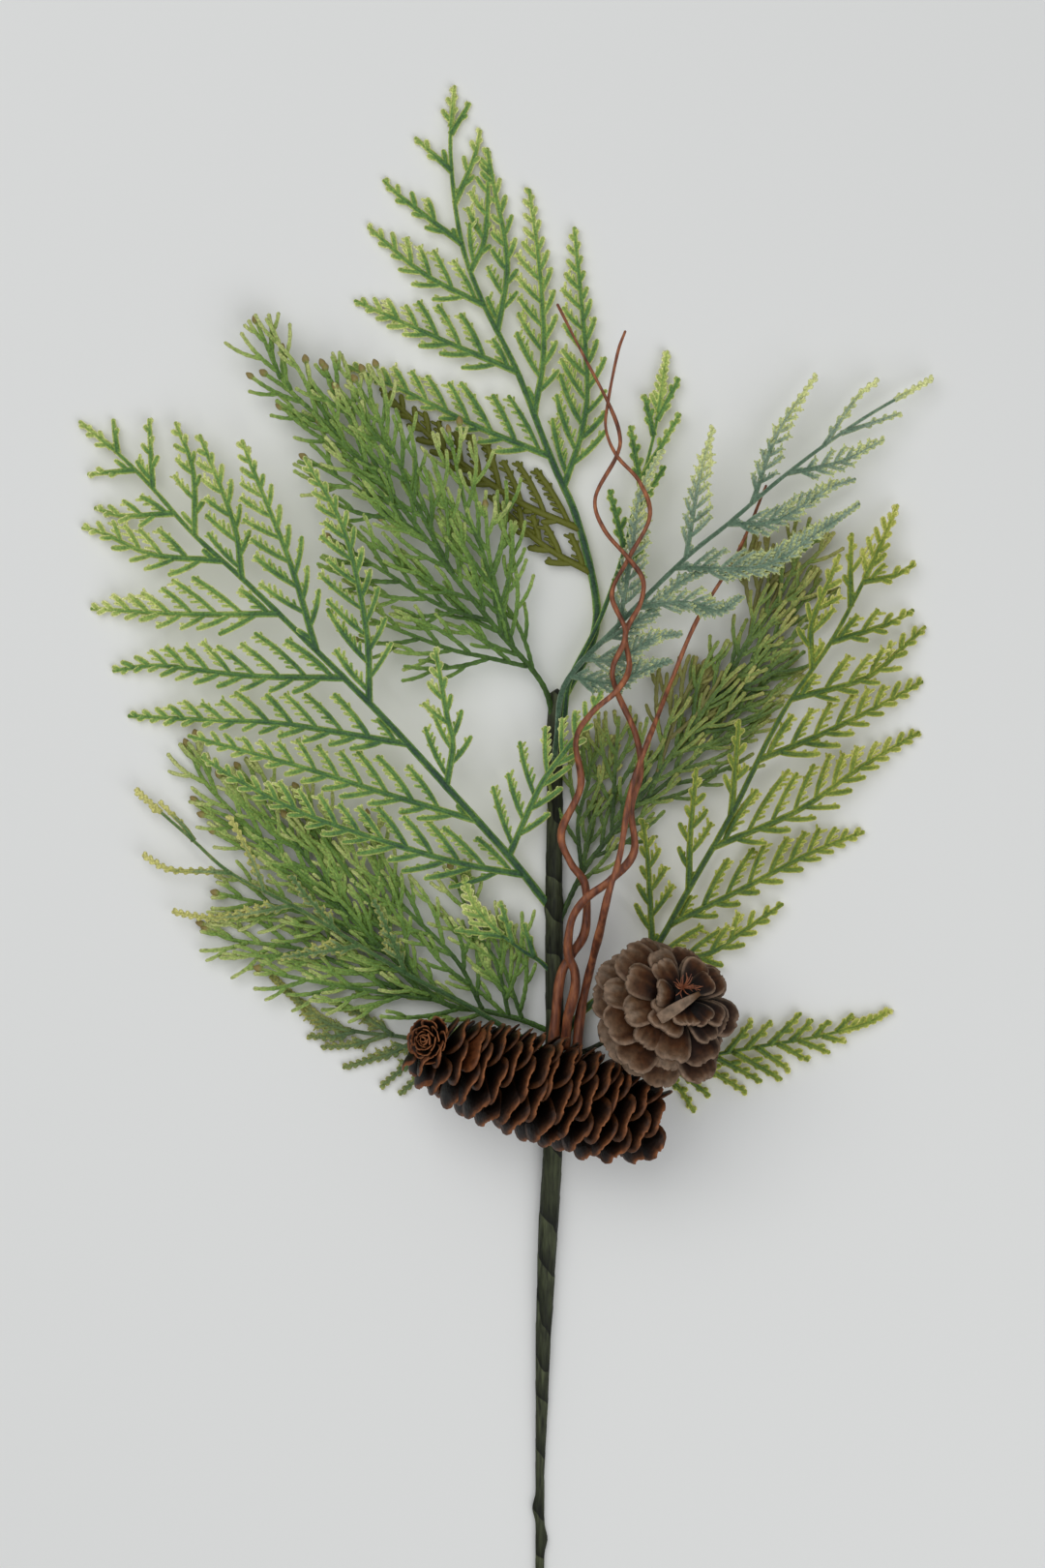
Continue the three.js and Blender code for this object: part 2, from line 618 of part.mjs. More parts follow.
function pineConeSolid() {
  const centre = place(pineCone.centre);
  const axis = centre.clone().sub(place(pineCone.towards)).normalize();
  const base = centre.clone().addScaledVector(axis, -pineCone.halfHeight);
  const height = 2 * pineCone.halfHeight;
  const coreRings = [[0.07, 0.5], [0.18, 1], [0.6, 1], [0.92, 0.4]].map(([share, size]) => [
    height * share, pineCone.core * size,
  ]);
  return coneOf(base, axis, coreRings, pineCone, (t) => {
    const distance = height * along([0.11, 0.76], t);
    const angle = along([1.85, 0.65], t);
    const inset = pineCone.core * pineCone.rootSink;
    const length = (pineCone.radius * along(pineCone.bulge, t) - inset) / plateReach;
    const width = pineCone.width * along([0.66, 0.9, 1, 0.95, 0.75], t);
    return { distance, opening: angle, length, width, inset };
  });
}

// Mound of set glue on the stem, from low to high, widened all over by grow
function glueMound({ at, low, high, radius }, grow) {
  const profile = [
    [0, low - grow], [radius + grow, low - grow], [radius * 0.9 + grow, low + 3],
    [radius * 0.55 + grow, high - 2], [0, high + grow],
  ].map(([r, z]) => new THREE.Vector2(r, z));
  const geometry = new THREE.LatheGeometry(profile, 10);
  geometry.rotateX(Math.PI / 2);
  const centre = place(at);
  geometry.translate(centre.x, centre.y, 0);
  return solidOf(geometry);
}

function ball(at, radius) {
  const geometry = new THREE.SphereGeometry(radius, 8, 5);
  const centre = place(at);
  geometry.translate(centre.x, centre.y, centre.z);
  return solidOf(geometry);
}

const branch = new THREE.Group();

function addPiece(name, solid, colour, roughness = 0.6, metalness = 0) {
  const loose = solid.decompose();
  const whole = loose.length > 1 ? loose.reduce((a, b) => (a.volume() > b.volume() ? a : b)) : solid;
  const mesh = whole.getMesh();
  const geometry = new THREE.BufferGeometry();
  geometry.setAttribute("position", new THREE.Float32BufferAttribute(mesh.vertProperties, 3));
  geometry.setIndex([...mesh.triVerts]);
  const finish = new THREE.MeshStandardMaterial({ color: colour, roughness, metalness });
  const piece = new THREE.Mesh(geometry, finish);
  piece.name = name;
  branch.add(piece);
}

// Stem and its wire core
const wireEnd = stemStations.slice(0, wireStations);
const [footAcross, footDown, footRadius] = stemStations[0];
const bore = stemTube([[footAcross, footDown + boreOvershoot, footRadius], ...wireEnd.slice(1)],
  () => wireRadius + seatGap);
addPiece("main_stem", stemTube(stemStations, (radius) => radius).subtract(bore), colours.tape, 0.75);
const wireRoute = wireEnd.map(([across, down, radius], k) => [
  across, down + (k === wireStations - 1 ? boreDepth : 0), radius,
]);
addPiece("stem_wire", stemTube(wireRoute, () => wireRadius), colours.wire, 0.35, 1);
const aroundStem = stemTube(stemStations, (radius) => radius + seatGap);

flatSprays.forEach((spray, k) => {
  addPiece(spray.name, flatSpray(spray, 11 + k * 17).subtract(aroundStem), spray.colour, 0.5);
});
stringSprays.forEach((spray, k) => {
  addPiece(spray.name, stringSpray(spray, 5 + k * 23).subtract(aroundStem), spray.colour, 0.5);
});
vines.forEach((vine) => {
  addPiece(vine.name, vineTwig(vine).subtract(aroundStem), colours.vine, 0.7);
});

// Cones on their glue seats
const mound = (grow) => glueMound(spruceSeat, grow);
const knob = (grow) => ball(pineSeat.at, pineSeat.radius + grow);
const stalk = (grow) => taperedTube(route(pineStalk), [pineStalkRadius + grow, pineStalkRadius + grow],
  6, 6);
const pine = pineConeSolid().subtract(knob(seatGap)).subtract(stalk(seatGap));
const spruce = spruceConeSolid().subtract(aroundStem).subtract(mound(seatGap));
addPiece("spruce_cone", spruce, colours.spruce, 0.7);
addPiece("pine_cone", pine, colours.pine, 0.8);
addPiece("spruce_glue_seat", mound(0).subtract(aroundStem), colours.glue, 0.35);
addPiece("pine_glue_seat", knob(0).subtract(stalk(seatGap)), colours.glue, 0.35);
addPiece("pine_stalk", stalk(0).subtract(aroundStem), colours.tape, 0.75);

export default branch;
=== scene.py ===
"""Artificial incense cedar branch: moulded fronds, string sprays, vine twigs and cones on a taped stem."""

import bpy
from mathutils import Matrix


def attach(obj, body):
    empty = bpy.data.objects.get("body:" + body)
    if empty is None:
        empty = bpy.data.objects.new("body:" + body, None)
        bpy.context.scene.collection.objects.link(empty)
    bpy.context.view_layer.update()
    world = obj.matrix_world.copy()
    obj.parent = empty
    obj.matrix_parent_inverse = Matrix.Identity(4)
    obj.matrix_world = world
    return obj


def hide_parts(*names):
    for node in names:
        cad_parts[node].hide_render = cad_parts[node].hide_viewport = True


bl_info = {
    "name": "Incense Cedar Branch",
    "version": (1, 0, 0),
    "blender": (4, 5, 0),
    "location": "3D View > Sidebar > Branch",
    "description": "Builds an artificial incense cedar branch with two cones around its packed frame",
    "category": "Object",
}

import math
from types import SimpleNamespace

import bpy
import numpy as np

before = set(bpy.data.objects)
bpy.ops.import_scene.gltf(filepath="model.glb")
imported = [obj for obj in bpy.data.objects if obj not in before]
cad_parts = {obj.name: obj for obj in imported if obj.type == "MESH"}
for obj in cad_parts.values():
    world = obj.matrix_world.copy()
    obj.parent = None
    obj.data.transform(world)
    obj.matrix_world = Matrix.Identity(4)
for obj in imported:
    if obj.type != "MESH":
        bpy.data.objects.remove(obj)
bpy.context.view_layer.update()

MM = 0.001

# Plan grid, as in the construction: a place is (across, down, height), with height in mm
PLAN_STEP = 0.42 * MM
PLAN_HEIGHT = 1620
PLAN_ORIGIN = (571, 1200)
UP = np.array((0.0, 0.0, 1.0))
GOLDEN_ANGLE = math.pi * (3 - math.sqrt(5))
# No centre line of a twiglet or string lies lower than this
LOWEST = 0.9 * MM
# Places worked out on each stretch of a smooth route, and kept along a branch and along a rachis
STRETCH_PLACES = 25
BRANCH_PLACES = 25
RACHIS_PLACES = 81
# Length of a branch for each of its rings
RING_STEP = 4 * MM

# Flat fronds and blue-green sprays: the rachis and its radii, the twiglets' reach and spacing, in mm, and
# the side branches, each from its root on the rachis
FLAT_SPRAYS = {
    "left_frond": dict(
        radii=(2.0, 0.95), reach=31, spacing=12, finish="fresh",
        rachis=[
            (572, 942, 3.5), (560, 928, 5), (527, 886, 12), (462, 813, 22), (395, 740, 26), (324, 669, 26),
            (255, 602, 22), (200, 552, 17), (156, 503, 12), (120, 467, 7), (78, 432, 1.5),
        ],
        branches=[
            [(541, 905), (479, 893, 16), (415, 875, 18), (322, 844, 17), (252, 810, 14), (207, 782, 12)],
            [(493, 848), (401, 821), (302, 790), (193, 760, 11)],
            [(423, 771), (294, 748), (221, 744), (129, 739, 1.5)],
            [(356, 702), (255, 698), (163, 687), (113, 692, 1.2)],
            [(290, 636), (189, 634), (90, 627, 1.2)],
            [(228, 579), (156, 572), (104, 549), (81, 543, 1.5)],
            [(179, 530), (124, 531), (94, 522, 1.5)],
            [(138, 485), (87, 487, 2)],
            [(527, 883), (558, 813, 15.5), (584, 776, 17.5), (605, 748, 18), (622, 714, 18)],
            [(465, 812), (468, 768), (462, 740), (450, 670, 24)],
            [(384, 726), (379, 652), (356, 549), (315, 473, 22)],
            [(327, 671), (301, 584), (267, 499), (250, 455, 20)],
            [(250, 597), (241, 540), (205, 448, 12)],
            [(202, 552), (198, 485), (179, 434, 7)],
            [(155, 501), (151, 430, 4)],
            [(120, 463), (113, 430, 2)],
        ],
    ),
    "top_frond": dict(
        radii=(2.1, 0.9), reach=29, spacing=11.5, finish="fresh", olive_branches=(0, 1),
        rachis=[
            (576, 730, 3.2), (590, 706, 3.2), (611, 666, 3.2), (617, 620, 3.6), (597, 535, 5), (570, 472, 6),
            (534, 380, 7), (496, 303, 7), (475, 239, 6), (465, 152, 4), (469, 82, 1.5),
        ],
        branches=[
            [(607, 592), (560, 560), (505, 510, 4)],
            [(597, 545), (536, 516), (463, 465), (392, 398, 3)],
            [(567, 472), (493, 438), (420, 402), (354, 373, 2)],
            [(534, 384), (450, 345), (365, 306, 1.5)],
            [(498, 313), (436, 278), (379, 229, 1.2)],
            [(478, 248), (413, 198), (395, 180, 1.2)],
            [(466, 172), (428, 136, 1.2)],
            [(585, 502), (602, 441), (607, 380), (594, 230, 3)],
            [(553, 424), (562, 358), (557, 267), (547, 190, 2)],
            [(514, 340), (524, 267), (510, 186), (503, 147, 1.5)],
            [(487, 275), (501, 239), (505, 150, 1.2)],
            [(470, 205), (489, 159), (496, 128, 1.2)],
            [(466, 135), (485, 100, 1.2)],
        ],
    ),
    "right_frond": dict(
        radii=(1.8, 0.9), reach=32, spacing=11.6, finish="olive",
        rachis=[
            (573, 1085, 3.4), (600, 1050, 5), (640, 1015, 6), (675, 985, 7), (717, 911, 13), (758, 838, 18),
            (808, 738, 20), (863, 657, 17), (908, 570, 11), (930, 520, 7),
        ],
        branches=[
            [(672, 990), (729, 988), (767, 965), (811, 935, 4)],
            [(693, 955), (767, 920), (840, 882), (896, 860, 2)],
            [(737, 875), (825, 838), (890, 794), (954, 756, 1.1)],
            [(787, 785), (855, 756), (922, 723), (957, 703, 1.1)],
            [(820, 722), (896, 700), (938, 666), (960, 646, 1.2)],
            [(860, 662), (919, 644), (947, 629, 4)],
            [(893, 600), (925, 594), (949, 581, 5)],
            [(675, 985), (670, 888), (664, 847, 13)],
            [(712, 918), (714, 861), (720, 794, 16)],
            [(756, 842), (761, 782), (764, 744, 18)],
            [(841, 690), (839, 646), (858, 599), (869, 572, 12)],
            [(882, 625), (880, 588), (882, 550, 10)],
        ],
    ),
    "small_left_frond": dict(
        radii=(1.2, 0.7), reach=14, spacing=8, finish="fresh",
        rachis=[
            (573, 1010, 3.4), (558, 994, 7), (540, 983, 9.5), (513, 962, 11), (490, 936, 11),
            (479, 905, 10.5),
        ],
        branches=[
            [(552, 990), (541, 955, 10)],
            [(530, 975), (517, 932, 10)],
            [(520, 968), (470, 962, 10.5)],
        ],
    ),
    "lower_right_frond": dict(
        radii=(1.3, 0.7), reach=6.5, spacing=6.5, finish="olive", back_share=0.21,
        rachis=[
            (573, 1112, 3.2), (650, 1104, 3.2), (722, 1095, 4.5), (794, 1082, 5), (843, 1074, 4.5),
            (897, 1060, 3), (923, 1046, 1.6),
        ],
        branches=[
            [(662, 1102), (700, 1124), (719, 1152, 2.5)],
            [(690, 1099), (735, 1135, 2.8)],
            [(716, 1095), (773, 1131, 2.6)],
            [(738, 1092), (789, 1120, 3)],
            [(760, 1088), (810, 1118, 2.6)],
            [(783, 1084), (818, 1108, 3)],
            [(806, 1080), (838, 1098, 3)],
            [(829, 1076), (860, 1090, 2.6)],
            [(853, 1071), (877, 1079, 2.6)],
            [(752, 1090), (779, 1057, 3.5)],
            [(774, 1086), (799, 1057, 3.5)],
            [(797, 1082), (830, 1049, 3.2)],
            [(819, 1078), (842, 1056, 3)],
            [(843, 1074), (859, 1057, 3)],
            [(868, 1068), (884, 1050, 2.4)],
        ],
    ),
    "middle_right_frond": dict(
        radii=(1.3, 0.7), reach=7, spacing=6.5, finish="fresh", run_share=0.5,
        rachis=[
            (574, 775, 3.2), (583, 745, 7), (590, 700, 10), (620, 640, 10.5), (645, 570, 10.5), (660, 510, 9),
            (678, 441, 6), (691, 359, 3),
        ],
        branches=[
            [(636, 600), (668, 560, 10)],
            [(645, 565), (630, 505, 10)],
            [(653, 535), (688, 480, 8)],
            [(662, 500), (652, 438, 7)],
            [(665, 490), (704, 425, 5)],
            [(676, 448), (667, 405, 5)],
            [(680, 432), (703, 388, 4)],
        ],
    ),
    "right_blue_spray": dict(
        radii=(1.4, 0.7), reach=14, spacing=6.4, finish="blue", leafy=0.92, end_tone=0.6, end_reach=0.4,
        runs=dict(enumerate((1.3, 1.5, 1.9, 2.1, 1.2, 0.9, 0.7, 0.5, 0.4, 0.4, 0.4, 0.4))),
        reaches={2: 0.8, 3: 0.42, 4: 0.5, 7: 1.15, 8: 1.2},
        closer={0: 0.85, 6: 0.8, 7: 0.66, 8: 0.62, 9: 0.66, 10: 0.66, 11: 0.66},
        rachis=[
            (573, 790, 5), (576, 760, 11), (585, 705, 18), (638, 647, 20), (706, 579, 21), (754, 540, 21),
            (815, 488, 19), (889, 434, 14), (967, 388, 7),
        ],
        branches=[
            [(640, 645), (654, 561), (662, 508), (684, 465, 18)],
            [(708, 577), (723, 494), (737, 441, 17)],
            [(776, 518), (804, 447), (845, 386, 12)],
            [(852, 460), (886, 410), (910, 390, 9)],
            [(870, 448), (933, 425, 10)],
            [(815, 490), (867, 477), (915, 453, 12)],
            [(754, 542), (802, 538), (856, 505), (885, 494, 14)],
            [(700, 588), (787, 585), (839, 555), (889, 520, 16)],
            [(655, 630), (705, 622), (744, 631), (767, 616, 18)],
            [(606, 682), (640, 681), (675, 660), (705, 655, 18)],
            [(622, 664), (662, 640), (700, 604), (742, 584, 18)],
            [(592, 698), (630, 706), (662, 694), (694, 682, 16)],
        ],
    ),
    "lower_left_blue_spray": dict(
        radii=(1.2, 0.7), reach=7, spacing=4.6, finish="dusk",
        rachis=[
            (571, 1120, 3), (530, 1105, 2.6), (426, 1076, 2.6), (373, 1069, 3), (339, 1061, 2.6),
            (314, 1042, 2.2), (288, 1019, 1.8), (277, 1008, 1.6),
        ],
        branches=[
            [(480, 1091), (440, 1110), (412, 1134, 1.6)],
            [(455, 1084), (425, 1100), (392, 1126, 1.6)],
            [(430, 1077), (400, 1092), (353, 1106, 1.6)],
            [(398, 1072), (365, 1082), (330, 1084, 1.6)],
            [(365, 1068), (340, 1074), (316, 1073, 1.6)],
            [(405, 1073), (375, 1052), (345, 1040, 2)],
        ],
    ),
    "yellow_tipped_spray": dict(
        radii=(1.3, 0.7), reach=8, spacing=5, finish="sage", leafy=0.93, end_tone=0.75, end_reach=0.42,
        runs=dict(enumerate((0.3, 0.3, 0.4, 1.7, 1.5, 2, 2))), reaches={3: 0.7, 4: 0.62, 5: 0.42, 6: 0.45},
        rachis=[
            (573, 1092, 3.2), (530, 1068, 9), (480, 1038, 12), (415, 1004, 13), (316, 944, 13),
            (238, 903, 11), (196, 867, 9.5), (137, 816, 7),
        ],
        branches=[
            [(420, 1007), (400, 960), (385, 930, 12)],
            [(370, 977), (325, 985), (290, 990, 11)],
            [(350, 965), (315, 925), (300, 905, 12)],
            [(300, 936), (224, 949), (176, 943, 8)],
            [(272, 922), (260, 890), (243, 857), (235, 843, 10)],
            [(238, 903), (213, 901), (173, 899), (145, 884, 7)],
            [(198, 869), (187, 853), (162, 829, 7.5)],
        ],
    ),
}

# Sprays of round strings: the main strings, single strings that end in a bud, and the side strings' reach
# and spacing in mm
STRING_SPRAYS = {
    "upper_left_string_spray": dict(
        reach=40, step=16, tone=0.12, buds=0.04, tip_buds=True, finish="string",
        budded=[
            [(289, 390, 12), (281, 368, 11), (280, 351, 10)],
            [(300, 402, 12.4), (291, 381, 11.5), (290.5, 361, 10.5)],
            [(349, 450, 14), (337, 430, 13.5), (322, 400, 12.5), (315.5, 373, 11.5)],
            [(378, 478, 14.4), (362, 435, 14), (343, 403, 13), (336, 381, 12)],
            [(320, 422, 13), (298, 402, 11.5), (274, 385, 9.5)],
            [(399, 502, 15), (366, 486, 15.5), (342, 462, 15), (329, 436, 13.5)],
            [(348, 448, 14), (318, 437, 12.5), (291, 420, 10.5)],
        ],
        mains=[
            [
                (573, 748, 3.4), (560, 705, 8), (514, 650, 12), (463, 587, 14), (408, 514, 15),
                (349, 448, 14), (296, 398, 12), (266, 336, 10),
            ],
            [(520, 657, 11.8), (500, 574, 13.5), (483, 530, 13), (465, 450, 11)],
            [(468, 592, 14), (430, 520, 15), (400, 450, 14.5), (370, 397, 12.5)],
            [(545, 688, 10), (500, 678, 12.5), (461, 669, 14), (385, 640, 14.5)],
            [(506, 641, 12.3), (455, 625, 14.5), (400, 592, 15.5), (345, 558, 15)],
            [(531, 670, 10.8), (514, 611, 13), (505, 570, 13.5), (502, 528, 12.5)],
            [(434, 550, 14.6), (400, 530, 15.5), (365, 502, 15.5), (320, 475, 14)],
            [(408, 514, 15), (366, 440, 14), (336, 381, 12)],
        ],
    ),
    "lower_left_string_spray": dict(
        reach=36, step=13.5, tone=0.22, buds=0.03, tip_buds=True, finish="string",
        budded=[
            [(300, 895, 6), (262, 868, 6), (228, 850, 5), (209, 843, 4)],
            [(290, 886, 6), (250, 852, 6), (218, 838, 5), (201, 828, 4)],
            [(350, 940, 7), (300, 905, 7.5), (252, 878, 6), (220, 861, 4.5)],
            [(385, 940, 7.5), (350, 890, 8), (322, 850, 7), (306, 822, 5)],
        ],
        mains=[
            [
                (573, 1070, 3.4), (540, 1056, 5), (500, 1046, 6), (457, 1037, 7), (401, 987, 7),
                (333, 922, 6.5), (271, 869, 5.5), (213, 813, 4), (193, 775, 3),
            ],
            [(457, 1037, 7), (401, 1020, 5), (316, 984, 5), (241, 973, 3.5), (217, 964, 3)],
            [(499, 1046, 6), (471, 993, 8), (415, 936, 7), (389, 897, 6), (380, 849, 5)],
            [(526, 1052, 5.5), (513, 998, 6.5), (490, 959, 6.5), (468, 903, 6.5)],
            [(445, 1034, 7), (387, 1026, 7), (300, 1011, 6), (273, 1004, 5.5)],
            [(401, 987, 7), (330, 950, 6.5), (228, 925, 4)],
            [(360, 948, 7), (310, 880, 6), (248, 798, 4)],
            [(430, 1013, 7), (365, 910, 6.5), (330, 855, 5.5), (308, 820, 4.5)],
            [(540, 1056, 5), (524, 1010, 6), (508, 965, 6)],
        ],
    ),
    "right_string_spray": dict(
        reach=38, step=13.5, tone=0.14, buds=0.02, tip_buds=False, finish="string_blue", brown_mains=(4, 6),
        budded=[],
        mains=[
            [
                (573, 965, 3.4), (602, 903, 5), (628, 868, 6), (680, 800, 7), (730, 730, 7), (775, 665, 7),
                (810, 610, 6), (840, 545, 5),
            ],
            [(650, 840, 6.3), (704, 797, 6), (757, 745, 6), (790, 710, 5)],
            [(602, 903, 5), (598, 850, 5), (610, 800, 4.5), (608, 760, 4)],
            [(633, 862, 6), (636, 800, 6), (640, 745, 5)],
            [(680, 800, 7), (700, 740, 6.5), (722, 690, 6)],
            [(690, 787, 7), (750, 738, 6), (822, 683, 5)],
            [(775, 665, 7), (785, 610, 6.5), (800, 565, 6)],
            [(730, 730, 7), (790, 672, 6.5), (848, 600, 5)],
        ],
    ),
}

# Vine twigs: radius at the foot in mm, and places
VINES = {
    "vine_1": dict(radius=2.4, places=[
        (571.5, 1085, 10.4), (575, 1045, 10.5), (580, 1008, 10.6), (591, 987, 10.8), (605, 962, 11.6),
        (605, 915, 13), (590, 892, 14), (580, 860, 16), (600, 812, 20), (595, 765, 25), (611, 737, 28),
        (637, 714, 29), (650, 690, 26), (646, 655, 24), (661, 625, 26.5), (664, 600, 28), (649, 578, 29),
        (624, 548, 27), (615, 515, 25), (637, 472, 24), (640, 450, 26.5), (628, 417, 26.8), (600, 363, 25),
        (576, 315, 22),
    ]),
    "vine_2": dict(radius=2.4, places=[
        (583.5, 1085, 9.6), (585, 1072, 11), (587, 1052, 13.2), (594, 1024, 15), (594, 1004, 15.5),
        (587, 984, 16.1), (591, 950, 18.2), (606, 928, 19.5), (631, 909, 21), (655, 880, 23), (652, 835, 24),
        (662, 800, 24), (657, 760, 24), (637, 714, 23.5), (633, 690, 27), (646, 655, 29.5), (632, 615, 26),
        (649, 578, 23.5), (671, 535, 26), (661, 500, 27.5), (637, 472, 27), (626, 445, 25.5),
        (628, 417, 24), (638, 366, 25), (646, 343, 24),
    ]),
    "vine_3": dict(radius=2.3, places=[
        (596.5, 1085, 9.4), (600, 1050, 9.1), (606, 1020, 9.8), (613, 990, 15.5), (620, 960, 23.5),
        (628, 924, 29), (640, 883, 31), (651, 818, 31), (666, 774, 30), (681, 736, 23), (695, 701, 17),
        (721, 640, 14.5), (763, 570, 13.5), (793, 500, 11),
    ]),
}

# Here the last number of a place is the stem's radius in mm
STEM = [
    (558, 1655, 1.9), (558, 1531, 1.9), (560.5, 1433, 2.9), (564.5, 1320, 3.9), (567.5, 1264, 4.3),
    (571, 1200, 4.2), (573, 1056, 3.9), (573, 950, 3.8), (573, 942, 4.3), (573, 934, 4.3), (573, 926, 3.7),
    (574, 836, 3.4), (573, 760, 3.6), (576, 715, 3.3),
]
STEM_SIDES = 24
STEM_RING_STEP = 1.5 * MM
# Tape: length of a lap in mm, and its loose edges at the foot, by how far down they lie and where they face
TAPE_LAP = 15
TAPE_EDGES = ((1565, 0.0), (1597, math.pi))
TAPE_EDGE_WIDTH = 4.2 * MM
PINE_STALK = [(573, 1098, 3.2), (610, 1086, 6), (650, 1063, 13), (668, 1054, 22), (674, 1050, 30)]

# Cones, with lengths in mm: scales stand on the span, from its start and over its share of the length. The
# pairs of rows give a value at shares of the scales from the base: their opening, longest reach and width
SPRUCE = SimpleNamespace(
    base=(420, 1077, 31), tip=(683, 1161, 28.5), core=(4, 8.5, 9, 8.5, 4),
    envelope=(13, 19, 23.5, 25.5, 25.5, 24, 15), pale_scale=(501, 1060, 50), heart=(441, 1071, 46),
    behind_heart=(455, 1072, 37), heart_scales=24, span=(0.02, 0.86),
    openings=((0, 0.05, 0.14, 0.9, 1), (112, 92, 70, 64, 44)), longest=((0, 0.08, 0.16), (8, 14, 26)),
    widths=((0, 0.07, 0.18, 0.9, 1), (5, 8, 10.8, 10.8, 8.5)),
)
PINE = SimpleNamespace(
    centre=(687, 1038.5, 51.3), towards=(710, 1017.5, 75.3), half_height=23, radius=32.5, core=8,
    bulge=(0.42, 0.72, 0.92, 1.02, 1, 0.86, 0.66), top=74, fuller_left=0.17,
    broken=((718, 1020, 72), (677, 1046, 73.5)), fibres=26, span=(0.08, 0.68),
    openings=((0, 0.2, 0.55, 1), (1.95, 1.76, 1.4, 0.65)), widths=((0, 0.25, 0.7, 1), (5, 7.8, 9.6, 7.6)),
)
# Make of their scales, for Skin.plate
SPRUCE_SCALE = dict(
    thickness=1.0 * MM, cup=-2.0 * MM, curl=-1.6 * MM, rounding=2.5, widest=0.68, columns=9, rows=9,
    fray=0.06, ridge=0.2 * MM, rim=0.35,
)
HEART_SCALE = dict(
    thickness=0.9 * MM, cup=-0.8 * MM, curl=-1.2 * MM, rounding=2.4, widest=0.65, fray=0.1, shift=0.1,
)
PINE_SCALE = dict(
    thickness=1.3 * MM, rounding=2.5, widest=0.72, columns=11, rows=9, fray=0.05, swell=0.25, ridge=0.55 * MM,
)
BROKEN_SCALE = dict(
    width=2.6 * MM, thickness=2.6 * MM, cup=-0.4 * MM, curl=0.0, rounding=5, widest=0.8, swell=0.2,
    ridge=0.3 * MM, shift=0.75,
)

# Glue under the cones, in mm: radii at shares of the first one's height, and heights and radii of the other
# one's rings about its middle
SPRUCE_GLUE = SimpleNamespace(
    foot=(571, 1118, 8.6), top=(571, 1118, 22.0), radii=((0, 0.2, 0.8, 1), (6, 5.6, 3.6, 1)), rings=9,
)
PINE_GLUE = SimpleNamespace(
    middle=(674, 1050, 26),
    rings=((-4.3, 1.2), (-3.4, 3.0), (-1.6, 4.3), (0.4, 4.4), (2.2, 3.8), (3.6, 2.6), (4.2, 1.0)),
)

# Habit of the twiglets. Pairs are for the side that faces the frond's tip and for the other one: the angle
# to the branch, the part of the gap to a neighbour that a twiglet may fill, and the first one's place in
# spacings. Share is their reach as part of the branch, and run and tip_gain are the rise in tone along both
FROND_HABIT = dict(
    angles=(0.73, 0.55), gap_parts=(0.76, 0.4), first=(0.25, 0.7), back_share=0.7, both_toothed=False,
    share=0.36, bare=0.02, plain_below=8.5 * MM, branch_radii=(1.7, 1.4, 1.1), tip_gain=0.2, run=0.26,
    under=0.88,
)
BLUE_HABIT = FROND_HABIT | dict(
    twig_radius=0.9 * MM, tooth=2.4 * MM, tooth_step=1.9 * MM, both_toothed=True, gap_parts=(0.62, 0.56),
    plain_below=3 * MM, branch_radii=(1.3, 1.0, 0.85), tip_gain=0.26, run=0.4, under=0.66,
)
# What a spray has unless its own row says otherwise. Runs, reaches and closer are factors by branch number,
# for the rise in tone, the reach and the spacing, and from its share leafy on the rachis has twiglets itself
PLAIN_SPRAY = dict(
    olive_branches=(), run_share=1, runs={}, reaches={}, closer={}, leafy=None, end_tone=0.3, end_reach=1.0,
    brown_mains=(), under=0.45,
)
TWIG_RINGS = 8
TWIG_SIDES = 8
TWIG_PROFILE = ((0, 0.3, 0.8, 1), (0.82, 1.0, 1.05, 0.84))
SHORTEST_TWIG = 2.2 * MM
RACHIS_GAP = 2.2 * MM
BUD_LENGTH = 4.2 * MM
BUD_RADII = (0.6, 1.15, 1.5, 1.5, 1.15, 0.6)
# Strings: their radii, the length of one clasping scale leaf, and the longest shoot
STRING_RADIUS = 1.15 * MM
SHOOT_RADIUS = 1.05 * MM
END_RADIUS = 0.95 * MM
LEAF_LENGTH = 1.9 * MM
LONGEST_SHOOT = 15 * MM
VINE_SIDES = 9
GLUE_SIDES = 14

# Colours from stalk to tip, or from root to rim, as sRGB hex codes
FOLIAGE_STOPS = {
    "fresh": [
        (0.0, "2c4836"), (0.2, "446a3a"), (0.4, "648b42"), (0.64, "a3b55c"), (0.86, "d2d884"),
        (1.0, "e8eab0"),
    ],
    "olive": [
        (0.0, "2b4528"), (0.2, "446128"), (0.45, "70832e"), (0.68, "a2a846"), (0.88, "c6c66a"),
        (1.0, "dbd890"),
    ],
    "blue": [
        (0.0, "3f5a44"), (0.25, "5e7761"), (0.5, "869884"), (0.72, "acb884"), (0.9, "ccd286"),
        (1.0, "dade9c"),
    ],
    "sage": [(0.0, "36562c"), (0.26, "4f6e3a"), (0.46, "7c8e60"), (0.66, "a6a756"), (1.0, "ccc87c")],
    "dusk": [(0.0, "33462a"), (0.3, "4f663e"), (0.65, "788349"), (1.0, "aaa75a")],
    "string": [(0.0, "283f1a"), (0.3, "47682a"), (0.6, "6f8f40"), (0.85, "97ab5c"), (1.0, "b6be78")],
    "string_blue": [(0.0, "223418"), (0.3, "40592a"), (0.6, "6a823e"), (0.85, "949c54"), (1.0, "aeac68")],
}
FOLIAGE_SLOTS = {
    "fresh": "fresh_plastic", "olive": "olive_plastic", "blue": "blue_plastic", "sage": "blue_plastic",
    "dusk": "dusk_plastic", "string": "string_plastic", "string_blue": "string_plastic",
}
# The cone scales are near black towards their root: painted shade of the deep gaps between the scales
SPRUCE_STOPS = [(0.0, "030100"), (0.7, "080301"), (0.93, "150804"), (0.985, "331709"), (1.0, "5c321a")]
